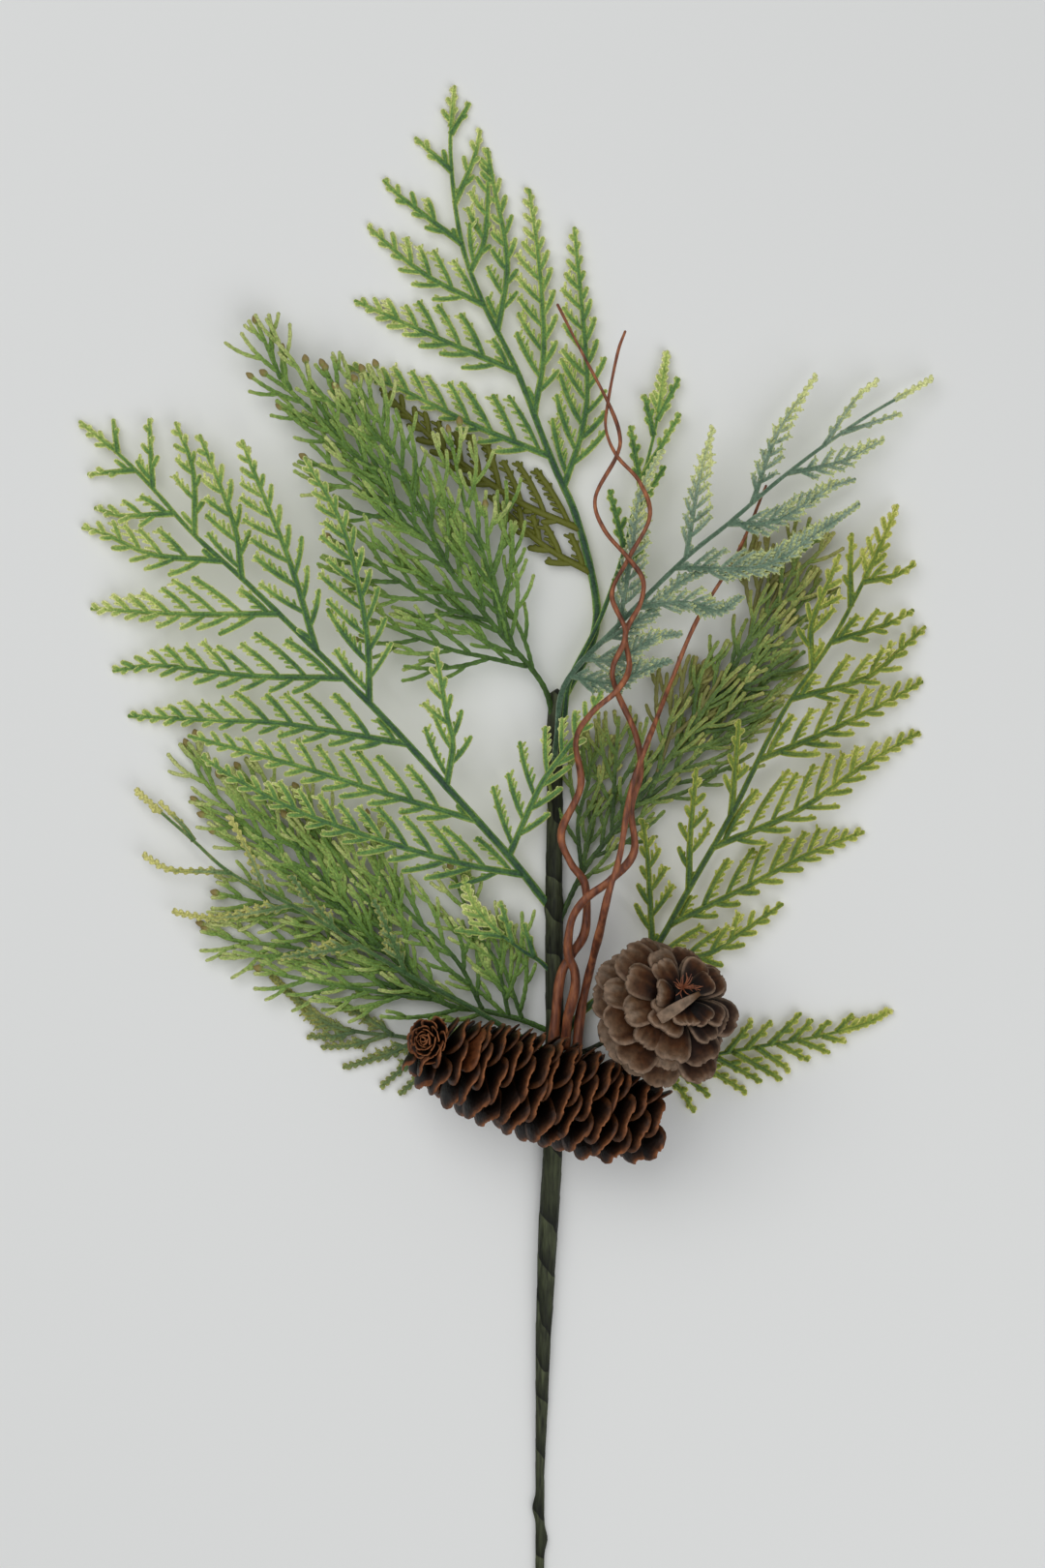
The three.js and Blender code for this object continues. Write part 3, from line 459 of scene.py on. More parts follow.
PINE_STOPS = [(0.0, "050201"), (0.35, "1f0e06"), (0.62, "422612"), (0.85, "5c4430"), (1.0, "786554")]
# Colours from the dark to the light side of a pattern
TAPE_STOPS = [(0.0, "0e1008"), (0.15, "1f2314"), (1.0, "3e432e")]
VINE_STOPS = [(0.3, "4a2415"), (0.5, "7c4429"), (0.72, "a9683f")]
GLUE_STOPS = [(0.3, "d8d3c4"), (0.7, "efece3")]
WIRE_STOPS = [(0.3, "74777a"), (0.7, "a9adb0")]
# Noise mostly lies between these two values, and a wave pattern of scale 1 repeats after this length
NOISE_LOW = 0.3
NOISE_HIGH = 0.7
WAVE_PERIOD = 0.31416

# Stage: lights and their target in metres, and the place under the camera
SKY_COLOUR = (0.97, 0.985, 1.0, 1)
LIGHT_SIZE = 1.8
LIGHT_TARGET = (0.0, 0.16, 0.0)
VIEW_MIDDLE = (540, 810, 20)


def linear(code):
    """An sRGB hex code such as 5f8f3f as linear red, green and blue."""
    values = [int(code[k:k + 2], 16) / 255 for k in (0, 2, 4)]
    return tuple(v / 12.92 if v <= 0.04045 else ((v + 0.055) / 1.055) ** 2.4 for v in values)


def place(spot):
    """A place of the plan grid in metres; without a height it lies at 0."""
    across, down, height = (*spot, 0)[:3]
    return np.array(((across - PLAN_ORIGIN[0]) * PLAN_STEP, (PLAN_ORIGIN[1] - down) * PLAN_STEP, height * MM))


def draw(seed, k):
    """A repeatable number from 0 to 1 for the k-th draw of a piece."""
    value = math.sin(seed * 12.9898 + k * 78.233) * 43758.5453
    return value - math.floor(value)


def stray(seed, k, spread):
    """The same draw, spread evenly about zero."""
    return spread * (draw(seed, k) - 0.5)


def along(values, t):
    """Evenly spaced values, read at the share t of their run."""
    return float(np.interp(t, np.linspace(0, 1, len(values)), values))


def unit(vector):
    return vector / max(float(np.linalg.norm(vector)), 1e-12)


class Route:
    """A smooth curve through points, read by its share of length from 0 to 1."""

    def __init__(self, points):
        points = np.array(points, float)
        ends = [2 * points[0] - points[1], *points, 2 * points[-1] - points[-2]]
        stretches = len(points) - 1
        rows = []
        for k in range(stretches):
            a, b, c, d = ends[k:k + 4]
            t0, t1 = (c - a) / 2, (d - b) / 2
            for w in np.linspace(0, 1, STRETCH_PLACES)[: None if k == stretches - 1 else -1]:
                rows.append(b + t0 * w + (3 * (c - b) - 2 * t0 - t1) * w**2 + (2 * (b - c) + t0 + t1) * w**3)
        self.rows = np.array(rows)
        steps = np.linalg.norm(np.diff(self.rows, axis=0), axis=1)
        self.at = np.concatenate(([0], np.cumsum(steps)))
        self.length = float(self.at[-1])
        self.at /= self.length

    def points(self, shares):
        return np.stack([np.interp(shares, self.at, self.rows[:, k]) for k in range(3)], axis=-1)

    def even(self, count, start=0):
        """Evenly spaced points from the share start to its end."""
        return self.points(np.linspace(start, 1, count))

    def point(self, t):
        return self.points(np.array([t]))[0]

    def tangent(self, t):
        ends = self.points(np.clip(np.array([t - 0.01, t + 0.01]), 0, 1))
        return unit(ends[1] - ends[0])


def route(spots):
    return Route([place(spot) for spot in spots])


class Skin:
    """Gathers closed forms into one mesh, with a tone from stalk to tip and a mark for buds or rims.

    The tone of a tube rises by under towards its lower side.
    """

    def __init__(self, under=0.0):
        self.points, self.faces, self.tones, self.marks, self.count = [], [], [], [], 0
        self.under = under

    def add(self, points, faces, tones, marks):
        self.points.append(points)
        self.faces.extend(tuple(int(i) + self.count for i in face) for face in faces)
        self.tones.append(np.broadcast_to(tones, len(points)))
        self.marks.append(np.broadcast_to(marks, len(points)))
        self.count += len(points)

    def tube(self, centres, radii, sides, tones, marks=0.0, flat=1.0, wobble=np.ones((1, 1))):
        """Round tube with a closed root and a domed tip; wobble gives factors of its radius, ring by ring."""
        centres = np.asarray(centres)
        count = len(centres)
        radii = np.broadcast_to(radii, count)
        heading = np.gradient(centres, axis=0)
        heading /= np.maximum(np.linalg.norm(heading, axis=1, keepdims=True), 1e-12)
        side = np.cross(UP, heading)
        side[np.linalg.norm(side, axis=1) < 1e-3] = (1.0, 0.0, 0.0)
        side /= np.linalg.norm(side, axis=1, keepdims=True)
        top = np.cross(heading, side)
        angles = 2 * math.pi * (np.arange(sides) + 0.5) / sides
        wide, high = np.cos(angles)[None, :, None], flat * np.sin(angles)[None, :, None]
        size = radii[:, None, None] * wobble[:, :, None]
        rings = centres[:, None, :] + size * (wide * side[:, None, :] + high * top[:, None, :])
        apex = centres[-1] + heading[-1] * radii[-1] * 0.7
        faces = [tuple(range(sides - 1, -1, -1))]
        for r in range(count - 1):
            for s in range(sides):
                a, b = r * sides + s, r * sides + (s + 1) % sides
                faces.append((a, b, b + sides, a + sides))
        last = (count - 1) * sides
        faces += [(last + s, last + (s + 1) % sides, count * sides) for s in range(sides)]
        below = self.under * np.clip(1.15 - 1.15 * np.sin(angles), 0, 1)
        tones = (np.broadcast_to(tones, count)[:, None] + below[None, :]).ravel()
        marks = np.repeat(np.broadcast_to(marks, count), sides)
        self.add(np.vstack((rings.reshape(-1, 3), apex[None, :])), faces,
                 np.append(tones, tones[-1]), np.append(marks, marks[-1]))

    def plate(self, root, outward, across, length, width, seed, thickness, cup, curl, rounding, widest,
              columns=7, rows=7, fray=0.0, swell=-0.5, shift=0.0, ridge=0.0, rim=1.0):
        """Cone scale: narrow at its root, rounded at its free end, cupped across and curled at its end.

        Widest is the share of its length where it is widest, and rounding how square its end is. Fray makes
        its end ragged, ridge raises streaks along it, and swell thickens it (or thins it) towards its end.
        """
        thin = unit(np.cross(across, outward))
        us = np.linspace(-1, 1, columns)
        vs = np.sin(math.pi / 2 * np.linspace(0, 1, rows))
        grid, tones, marks = [], [], []
        for v in vs:
            if v < widest:
                half = 0.34 + 0.66 * math.sin(math.pi / 2 * v / widest)
            else:
                half = max(0.05, 1 - ((v - widest) / (1.015 - widest)) ** rounding) ** (1 / rounding)
            for j, u in enumerate(us):
                ragged = fray * (draw(seed, j) - 0.5) * v**4
                streak = draw(seed + 0.5, j) - 0.5
                offset = cup * u * u * half + curl * v**3 + ridge * streak * v
                spot = root + outward * (v + ragged) * length + across * u * half * width + thin * offset
                grid.append(spot)
                tones.append(v + shift + 0.35 * streak * ridge / MM)
                marks.append(max(rim * abs(u) ** 11 * min(1, v * 1.6), v**22))
        grid = np.array(grid)
        count = rows * columns
        taper = np.repeat(1 + swell * vs, columns)[:, None]
        raised = thin * thickness / 2 * taper
        faces = []
        for i in range(rows - 1):
            for j in range(columns - 1):
                a = i * columns + j
                faces.append((a, a + 1, a + 1 + columns, a + columns))
                faces.append((a + count, a + columns + count, a + 1 + columns + count, a + 1 + count))
        edge = list(range(columns - 1)) + [columns - 1 + columns * i for i in range(rows - 1)]
        edge += [count - 1 - j for j in range(columns - 1)] + [columns * i for i in range(rows - 1, 0, -1)]
        faces += [(b, a, a + count, b + count) for a, b in zip(edge, edge[1:] + edge[:1])]
        self.add(np.vstack((grid + raised, grid - raised)), faces, np.array(tones * 2), np.array(marks * 2))

    def build(self, name, material, node, slot):
        """Makes the mesh a piece that rides on the branch, in place of the node where there is one."""
        mesh = bpy.data.meshes.new(name)
        mesh.from_pydata(np.vstack(self.points), [], self.faces)
        for title, values in (("tone", self.tones), ("mark", self.marks)):
            layer = mesh.attributes.new(title, "FLOAT", "POINT")
            layer.data.foreach_set("value", np.concatenate(values).astype(np.float32))
        mesh.polygons.foreach_set("use_smooth", [True] * len(mesh.polygons))
        mesh.validate()
        piece = bpy.data.objects.new(name, mesh)
        bpy.context.scene.collection.objects.link(piece)
        mesh.materials.append(material)
        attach(piece, "root")
        if node:
            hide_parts(node)


# Materials

def add_node(tree, kind, settings=None, inputs=None, stops=()):
    """Adds a node with its properties and colour stops; an input gets a value or a link from a socket."""
    node = tree.nodes.new(kind)
    for key, value in (settings or {}).items():
        setattr(node, key, value)
    for key, value in (inputs or {}).items():
        if isinstance(value, bpy.types.NodeSocket):
            tree.links.new(value, node.inputs[key])
        else:
            node.inputs[key].default_value = value
    if stops:
        elements = node.color_ramp.elements
        while len(elements) < len(stops):
            elements.new(0.5)
        for element, (position, code) in zip(elements, stops):
            element.position = position
            element.color = (*linear(code), 1)
    return node


def blank_material(name):
    """A new material and its empty node tree."""
    material = bpy.data.materials.new(name)
    material.use_nodes = True
    material.node_tree.nodes.clear()
    return material, material.node_tree


def grain(tree, size_mm, detail=3.0, stretch=(1, 1, 1)):
    """Noise whose lumps are about size_mm across."""
    where = add_node(tree, "ShaderNodeTexCoord")
    mapping = add_node(tree, "ShaderNodeMapping", inputs={
        "Vector": where.outputs["Object"], "Scale": stretch,
    })
    return add_node(tree, "ShaderNodeTexNoise", inputs={
        "Vector": mapping.outputs[0], "Scale": 1 / (size_mm * MM), "Detail": detail,
    }).outputs["Fac"]


def shaded(tree, colour, noise, low, high):
    """Colour made darker and lighter by noise."""
    spread = add_node(tree, "ShaderNodeMapRange", inputs={
        "Value": noise, "From Min": NOISE_LOW, "From Max": NOISE_HIGH, "To Min": low, "To Max": high,
    })
    return add_node(tree, "ShaderNodeVectorMath", {"operation": "SCALE"}, {
        0: colour, "Scale": spread.outputs[0],
    }).outputs[0]


def over_marks(tree, colour, marked):
    """Colour with a second one where the mesh is marked."""
    mark = add_node(tree, "ShaderNodeAttribute", {"attribute_name": "mark"})
    return add_node(tree, "ShaderNodeMix", {"data_type": "RGBA"}, {
        0: mark.outputs["Fac"], 6: colour, 7: (*marked, 1),
    }).outputs[2]


def surface(material, values, relief=None, depth_mm=0.0):
    """Ends a material with its shader; relief is noise that stands out by about depth_mm."""
    tree = material.node_tree
    if relief is not None:
        raised = add_node(tree, "ShaderNodeBump", inputs={"Height": relief, "Distance": depth_mm * MM})
        values["Normal"] = raised.outputs[0]
    shader = add_node(tree, "ShaderNodeBsdfPrincipled", inputs=values)
    add_node(tree, "ShaderNodeOutputMaterial", inputs={"Surface": shader.outputs[0]})
    return material


def moulded_foliage(name, stops, marked):
    """Injection-moulded polyethylene foliage, sprayed with colour: soft sheen, darker stalks, paler tips.

    Spray patches about 9 mm wide shift the colour along its stops, and a mottle of 0.9 mm shades it.
    """
    material, tree = blank_material(name)
    tone = add_node(tree, "ShaderNodeAttribute", {"attribute_name": "tone"})
    shifted = add_node(tree, "ShaderNodeMapRange", inputs={
        "Value": grain(tree, 9, 2), "From Min": NOISE_LOW, "From Max": NOISE_HIGH, "To Min": -0.12,
        "To Max": 0.12,
    })
    total = add_node(tree, "ShaderNodeMath", {"operation": "ADD"}, {
        0: tone.outputs["Fac"], 1: shifted.outputs[0],
    })
    colours = add_node(tree, "ShaderNodeValToRGB", inputs={"Fac": total.outputs[0]}, stops=stops)
    mottle = grain(tree, 0.9, 2)
    colour = shaded(tree, colours.outputs[0], mottle, 0.62, 1.36)
    return surface(material, {
        "Base Color": over_marks(tree, colour, marked), "Roughness": 0.5, "IOR": 1.5,
        "Specular IOR Level": 0.3,
    }, mottle, 0.4)


def foliage_material(kind):
    """One material for each kind of foliage, made the first time it is asked for."""
    name = "moulded_" + kind + "_foliage"
    colours = bpy.context.scene.branch_colours
    marked = colours.bud if kind.startswith("string") else colours.olive
    return bpy.data.materials.get(name) or moulded_foliage(name, FOLIAGE_STOPS[kind], marked)


def crepe_tape():
    """Waxed crepe paper tape, stretched and wound: matt, dark green, with slanted laps and fine creases.

    The laps come every 14 mm. The creases are finer on real tape, and are drawn 1.4 mm wide to show; the
    colour is painted darker in the creases and lighter on their ridges, as painted shade and painted
    highlight.
    """
    material, tree = blank_material("waxed_crepe_tape")
    where = add_node(tree, "ShaderNodeTexCoord")
    mapping = add_node(tree, "ShaderNodeMapping", inputs={
        "Vector": where.outputs["Object"], "Rotation": (0, 0, math.radians(52)),
    })
    laps = add_node(tree, "ShaderNodeTexWave", {"bands_direction": "Y", "wave_profile": "SAW"}, {
        "Vector": mapping.outputs[0], "Scale": WAVE_PERIOD / (14 * MM), "Distortion": 9.0, "Detail": 3.0,
    })
    colours = add_node(tree, "ShaderNodeValToRGB", inputs={"Fac": laps.outputs["Fac"]}, stops=TAPE_STOPS)
    creases = grain(tree, 1.4, 4, (1, 0.14, 1))
    # Painted shade darkens the colour in the creases and painted highlight lightens their ridges
    return surface(material, {
        "Base Color": shaded(tree, colours.outputs[0], creases, 0.3, 1.7), "Roughness": 0.62,
        "Specular IOR Level": 0.25,
    }, creases, 0.8)


def dried_vine():
    """Dried, stained vine twig: red-brown bark with streaks 2.2 mm wide and a dull polish."""
    material, tree = blank_material("dried_vine_bark")
    streaks = grain(tree, 2.2, 4, (1, 0.3, 1))
    colours = add_node(tree, "ShaderNodeValToRGB", inputs={"Fac": streaks}, stops=VINE_STOPS)
    return surface(material, {"Base Color": colours.outputs[0], "Roughness": 0.55}, streaks, 0.4)


def cone_scale(name, stops, rim, streak_mm, roughness, shine):
    """Dried woody cone scale: near black towards its root, painted shade of the gaps between scales, lighter
    along its thin free rim, with fine streaks.
    """
    material, tree = blank_material(name)
    tone = add_node(tree, "ShaderNodeAttribute", {"attribute_name": "tone"})
    colours = add_node(tree, "ShaderNodeValToRGB", inputs={"Fac": tone.outputs["Fac"]}, stops=stops)
    colour = over_marks(tree, colours.outputs[0], linear(rim))
    streaks = grain(tree, streak_mm, 5)
    return surface(material, {
        "Base Color": shaded(tree, colour, streaks, 0.62, 1.35), "Roughness": roughness,
        "Specular IOR Level": shine,
    }, streaks, 0.35)


def hot_melt():
    """Set hot-melt glue: cloudy white resin, smooth and a little see-through at its edges."""
    material, tree = blank_material("set_hot_melt_glue")
    colours = add_node(tree, "ShaderNodeValToRGB", inputs={"Fac": grain(tree, 3, 2)}, stops=GLUE_STOPS)
    return surface(material, {
        "Base Color": colours.outputs[0], "Roughness": 0.28, "Subsurface Weight": 0.3,
        "Subsurface Scale": 2 * MM,
    })


def cut_wire():
    """Cut galvanised steel wire: grey, with scratches from the cutter, drawn 0.4 mm wide to show."""
    material, tree = blank_material("cut_galvanised_wire")
    colours = add_node(tree, "ShaderNodeValToRGB", inputs={"Fac": grain(tree, 0.4)}, stops=WIRE_STOPS)
    return surface(material, {"Base Color": colours.outputs[0], "Metallic": 1.0, "Roughness": 0.38})


def pale_board():
    """Pale matt painted board under the branch."""
    material, tree = blank_material("pale_matt_board")
    return surface(material, {"Base Color": (*bpy.context.scene.branch_colours.board, 1), "Roughness": 0.95})


# Foliage

def branch_route(rachis, spots):
    """Side branch rooted on the rachis; heights that aren't given are shared out along it."""
    points = np.array([place(spot) for spot in spots])
    path = rachis.even(161)
    points[0] = path[int(np.argmin(plan_gaps(points[0], path)))]
    run = np.concatenate(([0], np.cumsum(np.hypot(*np.diff(points[:, :2], axis=0).T))))
    known = [k for k, spot in enumerate(spots) if k == 0 or len(spot) > 2]
    points[:, 2] = np.interp(run, run[known], points[known, 2])
    return Route(points)


def side_of(tangent, side):
    """The level direction of a tangent, and the one square to it on its left (1) or right (-1)."""
    flat = unit(np.array((tangent[0], tangent[1], 0.0)))
    return flat, np.array((-flat[1] * side, flat[0] * side, 0.0))


def plan_gaps(point, path):
    return np.hypot(path[:, 0] - point[0], path[:, 1] - point[1])


def free_reach(root, direction, wanted, own, others, rachis, share):
    """How far a twiglet may run towards its neighbours: share is the part of the gap that it may take."""
    reach = wanted * 0.25
    for k in range(2, 11):
        trial = wanted * k / 10
        tip = root + direction * trial
        mine = np.min(plan_gaps(tip, own))
        if any(np.min(plan_gaps(tip, path)) * share < mine * (1 - share) for path in others):
            break
        if np.min(plan_gaps(tip, rachis)) < RACHIS_GAP:
            break
        reach = trial
    return reach


def uneven(count, sides, seed, depth):
    """Slight moulding lumps round a tube, as factors of its radius."""
    rows, columns = np.arange(count)[:, None], np.arange(sides)[None, :]
    return 1 + depth * np.sin(rows * 1.9 + seed) * np.cos(columns * 2.3 + rows * 0.7 + seed * 1.7)


def beads(count, depth):
    """Every second ring of a string swells, as factors of its radius."""
    return 1 + depth * np.where(np.arange(count) % 2, 1, -1)


def bent_line(root, ahead, out, start, end, reach, lean, count):
    """Plan curve that leaves its branch at the start angle and turns towards the end angle."""
    shares = (np.arange(count - 1) + 0.5) / (count - 1)
    angles = start + (end - start) * shares
    steps = ahead * np.cos(angles)[:, None] + out * np.sin(angles)[:, None] + UP * lean
    return np.vstack((root, root + np.cumsum(steps, axis=0) * reach / (count - 1)))


def lift_clear(centres):
    centres[:, 2] = np.maximum(centres[:, 2], LOWEST)
    return centres


def beside(way, out, side):
    """Level direction square to way, on the same side as out (1) or on the other (-1)."""
    across = np.cross(way, UP)
    return unit(across) * (1 if np.dot(across, out) * side > 0 else -1)


def tooth(skin, spots, girths, tones, mark):
    skin.tube(lift_clear(np.array(spots)), np.array(girths), 5, tones, mark, flat=0.8)


def twiglet(skin, root, ahead, out, angle, reach, seed, tone, mark, spray, toothed):
    """Blunt moulded twiglet; its teeth stand along the side that faces the branch's tip."""
    lean = stray(seed, 1, 0.24)
    end = angle - 0.2 + stray(seed, 2, 0.16)
    centres = lift_clear(bent_line(root, ahead, out, angle + 0.06, end, reach, lean, TWIG_RINGS))
    radius = spray.twig_radius * (0.9 + 0.2 * draw(seed, 3))
    ts = np.linspace(0, 1, TWIG_RINGS)
    skin.tube(centres, radius * np.interp(ts, *TWIG_PROFILE), TWIG_SIDES, tone + spray.tip_gain * ts**2.5,
              mark, flat=0.82, wobble=uneven(TWIG_RINGS, TWIG_SIDES, seed, 0.12))
    line = Route(centres)
    step = spray.tooth_step if toothed else 1.5 * spray.tooth_step
    teeth = int(0.9 * reach / step) if reach > spray.plain_below else 0
    for k in range(teeth):
        t = 0.14 + 0.82 * (k + 0.5) / teeth
        centre, way = line.point(t), line.tangent(t)
        size = spray.tooth * (1.08 - 0.3 * t) * (0.7 + 0.6 * draw(seed, k + 10)) * (1 if toothed else 0.62)
        turn = 0.7 + stray(seed, k + 30, 0.3)
        rise = 0.3 * (draw(seed, k + 50) - 0.4)
        aim = unit(way * math.cos(turn) + beside(way, out, -1) * math.sin(turn) + UP * rise)
        spots = [centre, centre + aim * (size + radius) * 0.5, centre + aim * (size + radius * 0.6)]
        pale = tone + spray.tip_gain * t**2
        tooth(skin, spots, np.array((0.62, 0.66, 0.54)) * radius, (pale, pale + 0.1, pale + 0.26), mark)
    if toothed and reach > 1.4 * spray.plain_below:
        # Two short teeth on the outer side
        for k in range(2):
            t = 0.6 + 0.26 * k
            centre, way = line.point(t), line.tangent(t)
            aim = unit(way + beside(way, out, 1) * 0.7)
            size = spray.tooth * (0.35 + 0.4 * draw(seed, 70 + k))
            pale = tone + spray.tip_gain * 0.6
            tooth(skin, [centre, centre + aim * (size + radius * 0.6)], np.array((0.6, 0.45)) * radius,
                  (pale, pale + 0.2), mark)


def pinna(skin, curve, others, rachis, spray, seed, front, spacing, tone, run, mark=0.0, part=1.0):
    """Side branch of a frond, with twiglets that get shorter and closer towards its tip.

    Its tone rises by run to its tip, front is its side that faces the frond's tip, and part is the share of
    the usual reach that its twiglets have.
    """
    own = curve.even(BRANCH_PLACES)
    rings = max(10, int(curve.length / RING_STEP))
    ts = np.linspace(0, 1, rings)
    skin.tube(curve.points(ts), np.interp(ts, (0, 0.5, 1), spray.branch_radii) * MM, 7,
              tone + run * ts**1.4, mark, wobble=uneven(rings, 7, seed, 0.08))
    longest = part * min(spray.reach * MM, max(7 * MM, curve.length * spray.share))
    for side in (-1, 1):
        behind = int(side != front)
        position = spray.bare * curve.length + spacing * MM * spray.first[behind]
        number = 0
        while position < curve.length - 1.2 * MM:
            t = position / curve.length
            pick = 2 * number + (side > 0)
            ahead, out = side_of(curve.tangent(t), side)
            angle = spray.angles[behind] + stray(seed, pick, 0.12)
            way = ahead * math.cos(angle) + out * math.sin(angle)
            size = longest * (1 - 0.93 * t**1.15) * (0.84 + 0.32 * draw(seed + 3, pick))
            size = max(size * (spray.back_share if behind else 1), SHORTEST_TWIG)
            root = curve.point(t)
            reach = free_reach(root, way, size, own, others, rachis, spray.gap_parts[behind])
            twiglet(skin, root, ahead, out, angle, reach, seed + 7 * pick + 1, tone + 0.05 + run * t**1.4,
                    mark, spray, not behind or spray.both_toothed)
            position += spacing * MM * (1 - 0.54 * t**2)
            number += 1


def flat_spray(spray, seed):
    """Frond or blue-green spray: a rachis, its side branches and the twiglets on them."""
    skin = Skin(spray.under)
    rachis = route(spray.rachis)
    rings = max(24, int(rachis.length / RING_STEP))
    ts = np.linspace(0, 1, rings)
    radii = np.interp(ts, (0, 1), spray.radii) * MM
    skin.tube(rachis.points(ts), radii, 8, -0.04 + 0.4 * ts**2.5, wobble=uneven(rings, 8, seed, 0.1))
    curves = [branch_route(rachis, spots) for spots in spray.branches]
    paths = [curve.even(BRANCH_PLACES) for curve in curves]
    rachis_path = rachis.even(RACHIS_PLACES)
    final = RACHIS_PLACES - 1
    last = 0
    for number, curve in enumerate(curves):
        others = paths[:number] + paths[number + 1:]
        rooted = int(np.argmin(np.linalg.norm(rachis_path - curve.point(0), axis=1)))
        last = max(last, rooted)
        forward = rachis_path[min(rooted + 2, final)] - rachis_path[max(rooted - 2, 0)]
        left = side_of(curve.tangent(0.1), 1)[1]
        pinna(
            skin, curve, others, rachis_path, spray, seed + number * 41,
            front=1 if np.dot(left, forward) > 0 else -1,
            spacing=spray.spacing * spray.closer.get(number, 1.0),
            tone=0.04 + 0.14 * rooted / final + stray(seed, number, 0.1),
            run=spray.run * spray.run_share * spray.runs.get(number, 1),
            mark=float(number in spray.olive_branches),
            part=spray.reaches.get(number, 1.0),
        )
    # From its last branch to its tip the rachis carries twiglets itself, with no other rachis near
    start = spray.leafy or min(last / final + 0.012, 0.96)
    nothing_near = np.full((1, 3), 9.0)
    pinna(skin, Route(rachis.even(8, start)), paths, nothing_near, spray, seed + 5, front=1,
          spacing=spray.spacing * 0.62, tone=spray.end_tone, run=spray.run, part=spray.end_reach)
    return skin


def scaly_string(skin, centres, radius, tones, seed, bud, brown):
    """Round string of clasping scale leaves, with a blunt end or a bud."""
    line = Route(centres)
    count = max(4, int(line.length / LEAF_LENGTH))
    ts = np.linspace(0, 1, count)
    points = lift_clear(line.points(ts))
    skin.tube(points, radius * (1 - 0.14 * ts) * beads(count, 0.12), 6,
              tones[0] + (tones[1] - tones[0]) * ts**1.5, brown)
    if bud:
        way = unit(points[-1] - points[-2])
        radii = np.array(BUD_RADII) * MM * (0.85 + 0.35 * draw(seed, 9))
        us = np.linspace(0, 1, len(radii))
        body = np.array([points[-1] + way * (BUD_LENGTH * u - 0.6 * MM) for u in us])
        body[:, 2] = np.maximum(body[:, 2], radii.max())
        skin.tube(body, radii, 8, 0.6, (0.1, 0.5, 0.85, 1, 1, 1))
    return line


def string_spray(spray, seed):
    """Spray of round strings: main strings, side strings that bend forward, and short shoots on those."""
    skin = Skin(spray.under)
    for number, spots in enumerate(spray.mains):
        main = route(spots)
        key = seed + number
        count = max(8, int(main.length / (2 * MM)))
        ts = np.linspace(0, 1, count)
        thick, bare = (1.15, 0.04) if number else (1.4, 0.1)
        brown = 0.5 * (number in spray.brown_mains)
        skin.tube(main.points(ts), np.interp(ts, (0, 1), (thick, 0.95)) * MM * beads(count, 0.07), 6,
                  0.05 + 0.5 * ts**1.5, brown)
        end = [main.point(0.97), main.point(1.0), main.point(1) + main.tangent(1) * 2 * MM]
        scaly_string(skin, end, END_RADIUS, (0.6, 0.7), key, spray.tip_buds, brown)
        strings = 2 * max(2, round(main.length * (1 - bare) / (spray.step * MM)))
        for k in range(strings):
            t = bare + (1 - bare) * (k + 0.2 + 0.5 * draw(key + 5, k)) / strings
            ahead, out = side_of(main.tangent(t), 1 if k % 2 else -1)
            longest = main.length * (1 - t) + 5 * MM
            reach = min(longest, spray.reach * MM * (1 - 0.3 * t) * (0.7 + 0.5 * draw(key + 7, k)))
            centres = bent_line(main.point(t), ahead, out, 0.58 + stray(key, k, 0.2),
                                0.06 + stray(key + 1, k, 0.18), reach, stray(key + 3, k, 0.24), 7)
            bud = draw(key + 11, k) < spray.buds * (1 + 4 * (t > 0.7))
            tone = spray.tone + 0.34 * t + stray(key + 17, k, 0.26)
            string = scaly_string(skin, centres, STRING_RADIUS, (tone, tone + 0.42), seed + k, bud, brown)
            shoots = int(reach / spray.shoot_step + 0.3)
            for n in range(shoots):
                u = 0.2 + 0.6 * (n + 0.2 + 0.5 * draw(key + 19, k + n)) / shoots
                ahead, out = side_of(string.tangent(u), 1 if (n + k) % 2 else -1)
                size = min(LONGEST_SHOOT, reach * (1.05 - u)) * (0.65 + 0.55 * draw(seed + k, n + 20))
                rise = stray(seed + k, n + 50, 0.24)
                shoot = bent_line(string.point(u), ahead, out, 0.6, 0.08, size, rise, 4)
                bud = draw(seed + 2 * k, n) < spray.buds * 0.5
                scaly_string(skin, shoot, SHOOT_RADIUS, (tone + 0.3 * u, tone + 0.5), seed + n, bud, brown)
    for number, spots in enumerate(spray.budded):
        scaly_string(skin, route(spots).even(8), STRING_RADIUS, (0.2, 0.62), seed + number, True, 0.0)
    return skin


# Stem, vines and cones

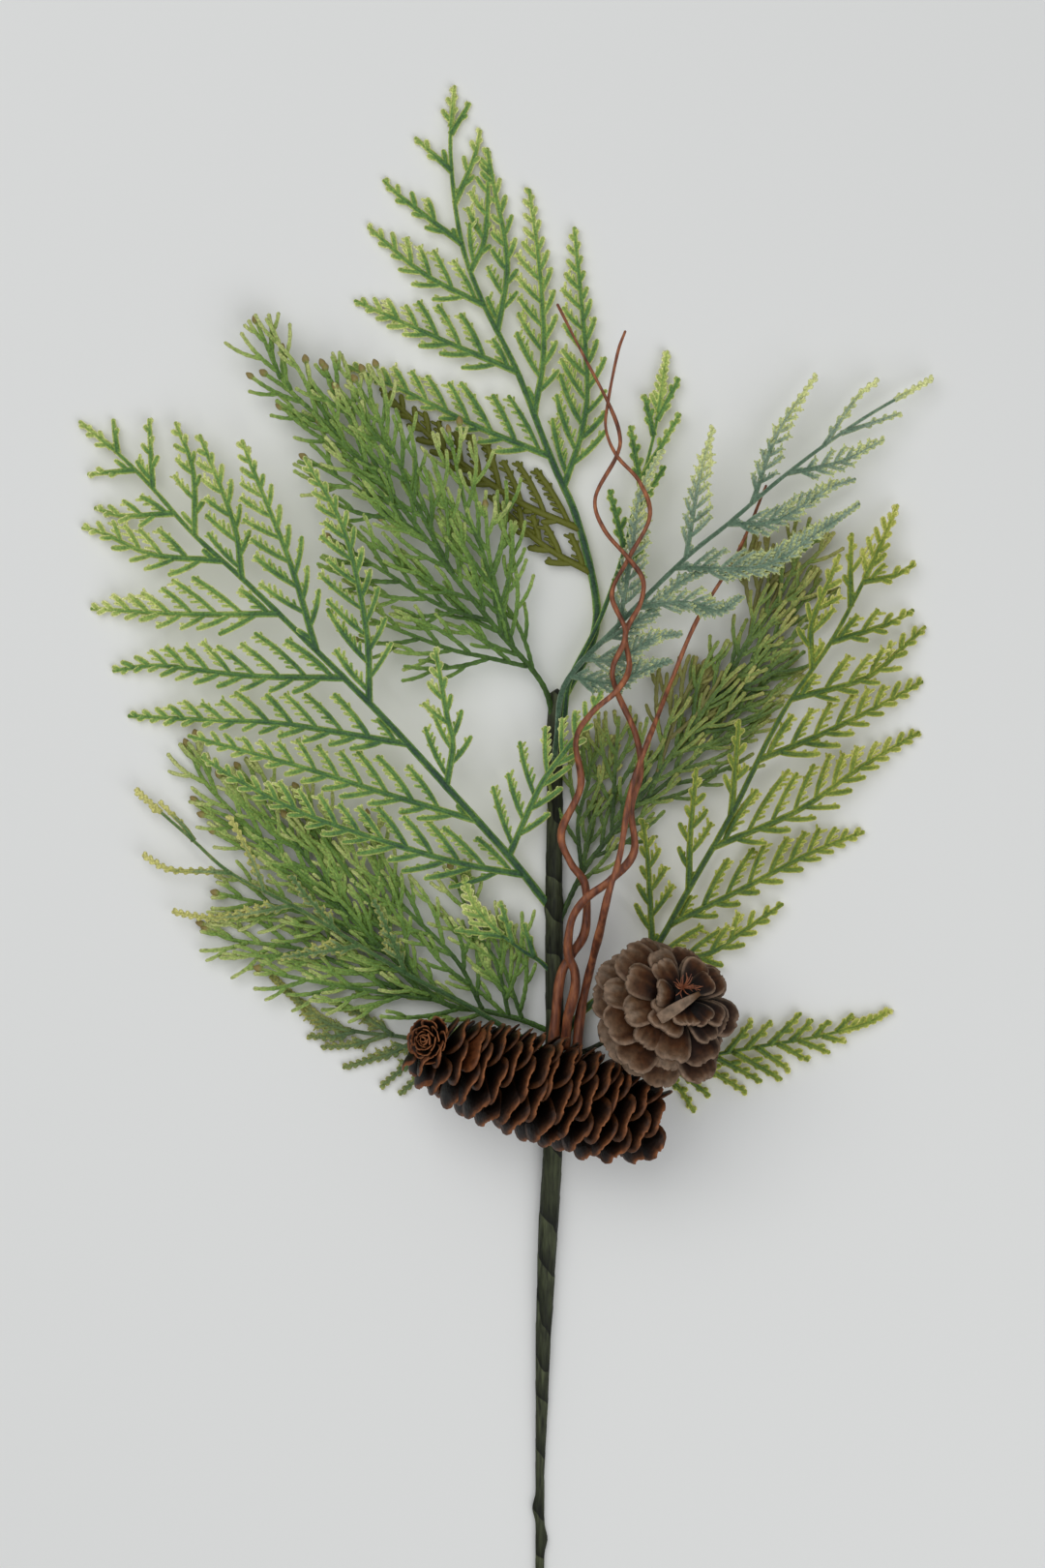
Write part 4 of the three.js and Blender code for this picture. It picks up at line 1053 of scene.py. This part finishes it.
def taped_stem():
    """Stem wound with tape; its underside is a flat facet, as in the construction."""
    skin = Skin()
    spots = np.array([place((s[0], s[1], s[2] * math.cos(math.pi / 8))) for s in STEM])
    ys = np.arange(spots[0, 1], spots[-1, 1], STEM_RING_STEP)
    centres = np.stack([np.interp(ys, spots[:, 1], spots[:, k]) for k in range(3)], axis=-1)
    centres[:, 1] = ys
    radii = np.interp(ys, spots[:, 1], [s[2] * MM for s in STEM])
    along_stem = ys[:, None] / MM
    around = 2 * math.pi * (np.arange(STEM_SIDES) + 0.5)[None, :] / STEM_SIDES
    # Laps of tape leave low slanted steps, and the tape wrinkles lengthwise
    turns = along_stem / TAPE_LAP + 0.35 * np.sin(along_stem / 23) + 0.2 * np.sin(along_stem / 9.5)
    lap = (turns + around / (2 * math.pi)) % 1
    wobble = 1 + 0.05 * (lap - 0.5)
    for folds, slide, depth in ((3, 31, 0.03), (5, 17, 0.035), (8, 11, 0.02)):
        wobble = wobble + depth * np.sin(folds * around + np.sin(along_stem / slide) * 2 + folds)
    # Loose edges of tape at the foot
    for foot, facing in TAPE_EDGES:
        near = np.exp(-((ys[:, None] - place((0, foot))[1]) / TAPE_EDGE_WIDTH) ** 2)
        wobble = wobble + 0.8 * near * np.clip(np.cos(around - facing), 0, 1) ** 3
    skin.tube(centres, radii, STEM_SIDES, 0.5, wobble=wobble)
    skin.points[-1][:, 2] = np.maximum(skin.points[-1][:, 2], 0)
    return skin


def vine_twig(vine, seed):
    """Thin twig that tapers to its tip, with low knots and a slightly uneven section."""
    skin = Skin()
    line = route(vine["places"])
    ts = np.linspace(0, 1, int(line.length / (2.2 * MM)))
    base = vine["radius"]
    radii = np.interp(ts, (0, 1 / 3, 2 / 3, 1), (base, base * 0.62, base * 0.42, 0.6)) * MM
    knots = 1 + 0.07 * np.sin(ts * 90 + seed) + 0.05 * np.sin(ts * 37 + 2 * seed)
    angles = 2 * math.pi * np.arange(VINE_SIDES) / VINE_SIDES
    wobble = 1 + 0.06 * np.sin(2 * angles[None, :] + 25 * ts[:, None] + seed)
    skin.tube(line.points(ts), radii * knots, VINE_SIDES, ts, wobble=wobble)
    return skin


def cone_frame(axis):
    """Two directions square to an axis and to each other."""
    sideways = np.cross(UP, axis)
    sideways = unit(sideways) if np.linalg.norm(sideways) > 0.1 else np.array((1.0, 0.0, 0.0))
    return sideways, unit(np.cross(axis, sideways))


def spiral(count, axis, seed=0, unrest=0.0):
    """Scales in a golden-angle spiral: each one's number, its share of the way and its direction outward."""
    sideways, other = cone_frame(axis)
    for k in range(count):
        angle = k * GOLDEN_ANGLE + stray(seed, k, unrest)
        yield k, (k + 0.5) / count, sideways * math.cos(angle) + other * math.sin(angle)


def spruce_cone(scales):
    """Open spruce cone: broad thin scales seen on edge, a small rosette at its base and a blunt tip."""
    skin = Skin()
    base, tip = place(SPRUCE.base), place(SPRUCE.tip)
    axis = unit(tip - base)
    length = float(np.linalg.norm(tip - base))
    ts = np.linspace(0.02, 0.96, 24)
    core = np.array([along(SPRUCE.core, t) for t in ts]) * MM
    skin.tube([base + axis * length * t for t in ts], core, 12, 0.02)
    for k, t, radial in spiral(scales, axis, 4, 0.2):
        distance = length * (SPRUCE.span[0] + SPRUCE.span[1] * t)
        opening = math.radians(np.interp(t, *SPRUCE.openings) + stray(3, k, 9))
        outward = unit(radial * math.sin(opening) + axis * math.cos(opening))
        # Scales that face the foot of the branch turn about their own length
        twist = 0.6 * max(0.0, -radial[1])
        across = unit(np.cross(axis, radial))
        across = across * math.cos(twist) + np.cross(across, outward) * math.sin(twist)
        inset = along(SPRUCE.core, t) * 0.6 * MM
        edge = along(SPRUCE.envelope, min(1, distance / length + 0.07)) * MM
        reach = min((edge - inset) / math.sin(opening) * (0.95 + 0.08 * draw(6, k)),
                    np.interp(t, *SPRUCE.longest) * MM)
        reach *= 1 - 0.16 * (1 - min(1, abs(radial[2]) * 1.5)) ** 2
        root = base + axis * distance + radial * inset
        pale = 0.6 * (np.linalg.norm(root + outward * reach - place(SPRUCE.pale_scale)) < 7 * MM)
        skin.plate(root, outward, across, reach, np.interp(t, *SPRUCE.widths) * MM, seed=k,
                   shift=max(pale, 0.12 * (t < 0.1)), **SPRUCE_SCALE)
    # Small scales round the stalk end, which is turned towards the viewer
    heart = place(SPRUCE.heart)
    facing = unit(heart - place(SPRUCE.behind_heart))
    for k, share, radial in spiral(SPRUCE.heart_scales, facing):
        lean = 0.35 + 1.1 * share
        outward = unit(facing * math.cos(lean) + radial * math.sin(lean))
        root = heart - facing * (1.5 + 4 * share) * MM + radial * (0.6 + 3.6 * share) * MM
        skin.plate(root, outward, unit(np.cross(facing, radial)), (3 + 4.6 * share) * MM,
                   (1.8 + 3.2 * share) * MM, seed=400 + k, **HEART_SCALE)
    return skin


def pine_line():
    """Middle of the round cone, and the direction from its base to its tip."""
    centre = place(PINE.centre)
    return centre, unit(centre - place(PINE.towards))


def pine_cone(scales):
    """Pine cone seen from its base: thick rounded scale ends in overlapping rings, darker on the right,
    partly its own browner colour and partly painted shade on the side away from the light.
    """
    skin = Skin()
    centre, axis = pine_line()
    height = 2 * PINE.half_height * MM
    base = centre - axis * height / 2
    ts = np.linspace(0, 1, 16)
    core = np.interp(ts, (0, 0.15, 0.6, 1), (3.5, PINE.core, PINE.core, 2.5)) * MM
    skin.tube([base + axis * height * (0.06 + 0.87 * t) for t in ts], core, 10, 0.02)
    inset = PINE.core * 0.5 * MM
    for k, t, radial in spiral(scales, axis, 9, 0.45):
        distance = height * (PINE.span[0] + PINE.span[1] * t)
        opening = np.interp(t, *PINE.openings) + stray(8, k, 0.34)
        outward = unit(radial * math.sin(opening) + axis * math.cos(opening))
        across = unit(np.cross(axis, radial) + UP * 0.6 * (draw(12, k) - 0.5))
        reach = (PINE.radius * along(PINE.bulge, t) * (0.86 + 0.18 * draw(10, k))) * MM - inset
        reach *= 1 + PINE.fuller_left * max(0.0, -radial[0]) ** 2
        width = np.interp(t, *PINE.widths) * MM * (0.82 + 0.4 * draw(5, k))
        # Scales facing right get a lower tone: partly the cone's browner colour there, partly painted shade
        # on the side away from the light
        brown = -0.02 - 0.42 * np.clip(radial[0] * 1.6 + 0.1, 0, 1) + stray(11, k, 0.26)
        root = base + axis * distance + radial * inset
        if outward[2] > 0.05:
            reach = min(reach, (PINE.top * MM - root[2]) / outward[2])
        skin.plate(root, outward, across, reach, width, seed=k + 200, shift=brown,
                   cup=-(0.3 + 2 * draw(14, k)) * MM, curl=-(0.3 + 2.6 * draw(15, k)) * MM, **PINE_SCALE)
    # A broken scale lies across the front of the cone
    start, end = (place(spot) for spot in PINE.broken)
    outward, length = unit(end - start), float(np.linalg.norm(end - start))
    skin.plate(start, outward, unit(np.cross(UP, outward)), length, seed=9, **BROKEN_SCALE)
    return skin


def stalk_fibres():
    """Torn red-brown fibres of the stalk at the round cone's base."""
    skin = Skin()
    centre, axis = pine_line()
    base = centre - axis * (PINE.half_height - 3) * MM + np.array((-1, 3.5, 0)) * MM
    sideways, other = cone_frame(axis)
    for k in range(PINE.fibres):
        angle = 2 * math.pi * draw(31, k)
        lean = 0.5 + 1.2 * draw(32, k)
        way = unit(-axis + (sideways * math.cos(angle) + other * math.sin(angle)) * lean)
        size = (4 + 6 * draw(33, k)) * MM
        twist = (sideways * math.sin(angle) - other * math.cos(angle)) * size * 0.4 * (draw(34, k) - 0.5)
        centres = np.array([base, base + way * size * 0.5 + twist, base + way * size - UP * size * 0.15])
        centres[:, 2] = np.minimum(centres[:, 2], PINE.top * MM)
        skin.tube(Route(centres).even(6), np.linspace(0.42, 0.14, 6) * MM, 5, 0.5)
    return skin


def glue_blob(centres, radii, seed):
    skin = Skin()
    angles = 2 * math.pi * np.arange(GLUE_SIDES) / GLUE_SIDES
    rows = np.arange(len(radii))
    wobble = 1 + 0.06 * np.sin(3 * angles[None, :] + seed + rows[:, None] * 0.7)
    skin.tube(centres, radii, GLUE_SIDES, 0.5, wobble=wobble)
    return skin


# Settings, operators and panel

class BranchSizes(bpy.types.PropertyGroup):
    twig_radius: bpy.props.FloatProperty(
        name="Twiglet radius", description="Half the thickness of a moulded twiglet", default=1.35 * MM,
        unit="LENGTH", precision=5)
    tooth: bpy.props.FloatProperty(
        name="Tooth length", description="Length of the teeth along a twiglet", default=3.6 * MM,
        unit="LENGTH", precision=5)
    tooth_step: bpy.props.FloatProperty(
        name="Tooth spacing", description="Distance between the teeth of a twiglet", default=3.2 * MM,
        unit="LENGTH", precision=5)
    shoot_step: bpy.props.FloatProperty(
        name="Shoot spacing", description="Distance between the short shoots of a string", default=14 * MM,
        unit="LENGTH", precision=5)
    spruce_scales: bpy.props.IntProperty(
        name="Long cone scales", description="Number of scales on the long cone", default=125)
    pine_scales: bpy.props.IntProperty(
        name="Round cone scales", description="Number of scales on the round cone", default=58)


class BranchColours(bpy.types.PropertyGroup):
    bud: bpy.props.FloatVectorProperty(
        name="Buds", description="Colour of the buds on the round strings", subtype="COLOR", min=0, max=1,
        default=linear("8c7c4a"))
    olive: bpy.props.FloatVectorProperty(
        name="Olive branches", description="Colour of the two brownish branches of the top frond",
        subtype="COLOR", min=0, max=1, default=linear("62661f"))
    board: bpy.props.FloatVectorProperty(
        name="Board", description="Colour of the board under the branch", subtype="COLOR", min=0, max=1,
        default=linear("e4e5e4"))


class BranchStage(bpy.types.PropertyGroup):
    floor_size: bpy.props.FloatProperty(
        name="Board size", description="Side of the square board under the branch", default=8.0,
        unit="LENGTH")
    sky: bpy.props.FloatProperty(
        name="Sky", description="Brightness of the light from all around", default=0.31)
    key: bpy.props.FloatProperty(
        name="Main light", description="Power of the wide light above", default=17.8, unit="POWER")


def dressed(*rows):
    """The user's sizes with the rows of a spray over them, a later row over an earlier one."""
    group = bpy.context.scene.branch_sizes
    values = {name: getattr(group, name) for name in BranchSizes.__annotations__}
    for row in (PLAIN_SPRAY, *rows):
        values |= row
    return SimpleNamespace(**values)


class BRANCH_OT_fronds(bpy.types.Operator):
    """Build the flat moulded fronds and the blue-green sprays"""
    bl_idname = "branch.fronds"
    bl_label = "Fronds"

    def execute(self, context):
        for number, (node, row) in enumerate(FLAT_SPRAYS.items()):
            kind = row["finish"]
            spray = dressed(BLUE_HABIT if kind in ("blue", "dusk", "sage") else FROND_HABIT, row)
            skin = flat_spray(spray, 100 + 17 * number)
            skin.build(node + "_foliage", foliage_material(kind), node, FOLIAGE_SLOTS[kind])
        return {"FINISHED"}


class BRANCH_OT_strings(bpy.types.Operator):
    """Build the sprays of round strings with bud tips"""
    bl_idname = "branch.strings"
    bl_label = "String sprays"

    def execute(self, context):
        for number, (node, row) in enumerate(STRING_SPRAYS.items()):
            kind = row["finish"]
            skin = string_spray(dressed(row), 300 + 29 * number)
            skin.build(node + "_strings", foliage_material(kind), node, FOLIAGE_SLOTS[kind])
        return {"FINISHED"}


class BRANCH_OT_stem(bpy.types.Operator):
    """Build the taped stem, and finish its wire core and the round cone's stalk"""
    bl_idname = "branch.stem"
    bl_label = "Stem"

    def execute(self, context):
        tape = crepe_tape()
        taped_stem().build("taped_stem", tape, "main_stem", "stem_tape")
        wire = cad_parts["stem_wire"]
        wire.data.materials.clear()
        wire.data.materials.append(cut_wire())
        skin = Skin()
        skin.tube(route(PINE_STALK).even(30, 0.06), 1.15 * MM, 10, 0.5)
        skin.build("taped_cone_stalk", tape, "pine_stalk", "stem_tape")
        return {"FINISHED"}


class BRANCH_OT_vines(bpy.types.Operator):
    """Build the twisted vine twigs"""
    bl_idname = "branch.vines"
    bl_label = "Vine twigs"

    def execute(self, context):
        bark = dried_vine()
        for number, (node, vine) in enumerate(VINES.items()):
            vine_twig(vine, number + 1.0).build(node + "_twig", bark, node, "vine")
        return {"FINISHED"}


class BRANCH_OT_cones(bpy.types.Operator):
    """Build the long and the round cone, the stalk fibres and the glue under them"""
    bl_idname = "branch.cones"
    bl_label = "Cones"

    def execute(self, context):
        counts = context.scene.branch_sizes
        spruce = cone_scale("dried_spruce_scale", SPRUCE_STOPS, "875433", 2.2, 0.46, 0.2)
        pine = cone_scale("weathered_pine_scale", PINE_STOPS, "826c5a", 2.6, 0.62, 0.15)
        spruce_cone(counts.spruce_scales).build("long_cone_scales", spruce, "spruce_cone", "spruce_scale")
        pine_cone(counts.pine_scales).build("round_cone_scales", pine, "pine_cone", "pine_scale")
        fibre = bpy.data.materials.get("dried_vine_bark") or dried_vine()
        stalk_fibres().build("round_cone_fibres", fibre, None, "vine")
        glue = hot_melt()
        foot, top = place(SPRUCE_GLUE.foot), place(SPRUCE_GLUE.top)
        us = np.linspace(0, 1, SPRUCE_GLUE.rings)
        seat = glue_blob([foot + (top - foot) * u for u in us], np.interp(us, *SPRUCE_GLUE.radii) * MM, 1)
        seat.build("long_cone_glue", glue, "spruce_glue_seat", "glue")
        middle = place(PINE_GLUE.middle)
        knob = glue_blob([middle + UP * z * MM for z, _ in PINE_GLUE.rings],
                         [r * MM for _, r in PINE_GLUE.rings], 2)
        knob.build("round_cone_glue", glue, "pine_glue_seat", "glue")
        return {"FINISHED"}


class BRANCH_OT_stage(bpy.types.Operator):
    """Set up the pale board, the soft light and the camera that looks down on the branch"""
    bl_idname = "branch.stage"
    bl_label = "Stage"

    def execute(self, context):
        scene = context.scene
        settings = scene.branch_stage
        half = settings.floor_size / 2
        mesh = bpy.data.meshes.new("pale_board")
        corners = [(-half, -half, 0), (half, -half, 0), (half, half, 0), (-half, half, 0)]
        mesh.from_pydata(corners, [], [(0, 1, 2, 3)])
        mesh.materials.append(pale_board())
        board = bpy.data.objects.new("pale_board", mesh)
        scene.collection.objects.link(board)
        world = bpy.data.worlds.new("soft_sky")
        world.use_nodes = True
        background = world.node_tree.nodes["Background"].inputs
        background["Color"].default_value = SKY_COLOUR
        background["Strength"].default_value = settings.sky
        scene.world = world
        scene.view_settings.view_transform = "Standard"
        for title, spot, share in (
            ("wide_top_light", (-0.7, 0.9, 1.7), 1.0),
            ("side_fill_light", (0.8, -0.9, 1.5), 0.95),
        ):
            light = bpy.data.lights.new(title, "AREA")
            light.size = LIGHT_SIZE
            light.energy = settings.key * share
            lamp = bpy.data.objects.new(title, light)
            lamp.location = spot
            aim = np.array(LIGHT_TARGET) - np.array(spot)
            tilt = math.acos(-aim[2] / np.linalg.norm(aim))
            lamp.rotation_euler = (tilt, 0, math.atan2(aim[0], -aim[1]) + math.pi)
            scene.collection.objects.link(lamp)
        camera = bpy.data.cameras.new("overhead_camera")
        camera.lens = 100
        camera.sensor_fit = "VERTICAL"
        camera.sensor_height = 36
        camera.sensor_width = 24
        middle = place(VIEW_MIDDLE)
        rise = camera.lens / camera.sensor_height * PLAN_HEIGHT * PLAN_STEP
        holder = bpy.data.objects.new("overhead_camera", camera)
        holder.location = (middle[0], middle[1], middle[2] + rise)
        scene.collection.objects.link(holder)
        scene.camera = holder
        return {"FINISHED"}


class BRANCH_PT_panel(bpy.types.Panel):
    """Sizes and build buttons of the branch"""
    bl_idname = "BRANCH_PT_panel"
    bl_label = "Incense cedar branch"
    bl_space_type = "VIEW_3D"
    bl_region_type = "UI"
    bl_category = "Branch"

    def draw(self, context):
        for title, kind in GROUPS.items():
            for name in kind.__annotations__:
                self.layout.prop(getattr(context.scene, title), name)
        for operator in OPERATORS:
            self.layout.operator(operator.bl_idname)


OPERATORS = (
    BRANCH_OT_stage, BRANCH_OT_stem, BRANCH_OT_fronds, BRANCH_OT_strings, BRANCH_OT_vines, BRANCH_OT_cones,
)
GROUPS = {"branch_sizes": BranchSizes, "branch_colours": BranchColours, "branch_stage": BranchStage}
CLASSES = (*GROUPS.values(), *OPERATORS, BRANCH_PT_panel)


def register():
    for kind in CLASSES:
        bpy.utils.register_class(kind)
    for title, kind in GROUPS.items():
        setattr(bpy.types.Scene, title, bpy.props.PointerProperty(type=kind))


def unregister():
    for title in GROUPS:
        delattr(bpy.types.Scene, title)
    for kind in reversed(CLASSES):
        bpy.utils.unregister_class(kind)


def main():
    register()
    bpy.ops.branch.stage()
    bpy.ops.branch.stem()
    bpy.ops.branch.fronds()
    bpy.ops.branch.strings()
    bpy.ops.branch.vines()
    bpy.ops.branch.cones()
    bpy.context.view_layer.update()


if __name__ == "__main__":
    main()
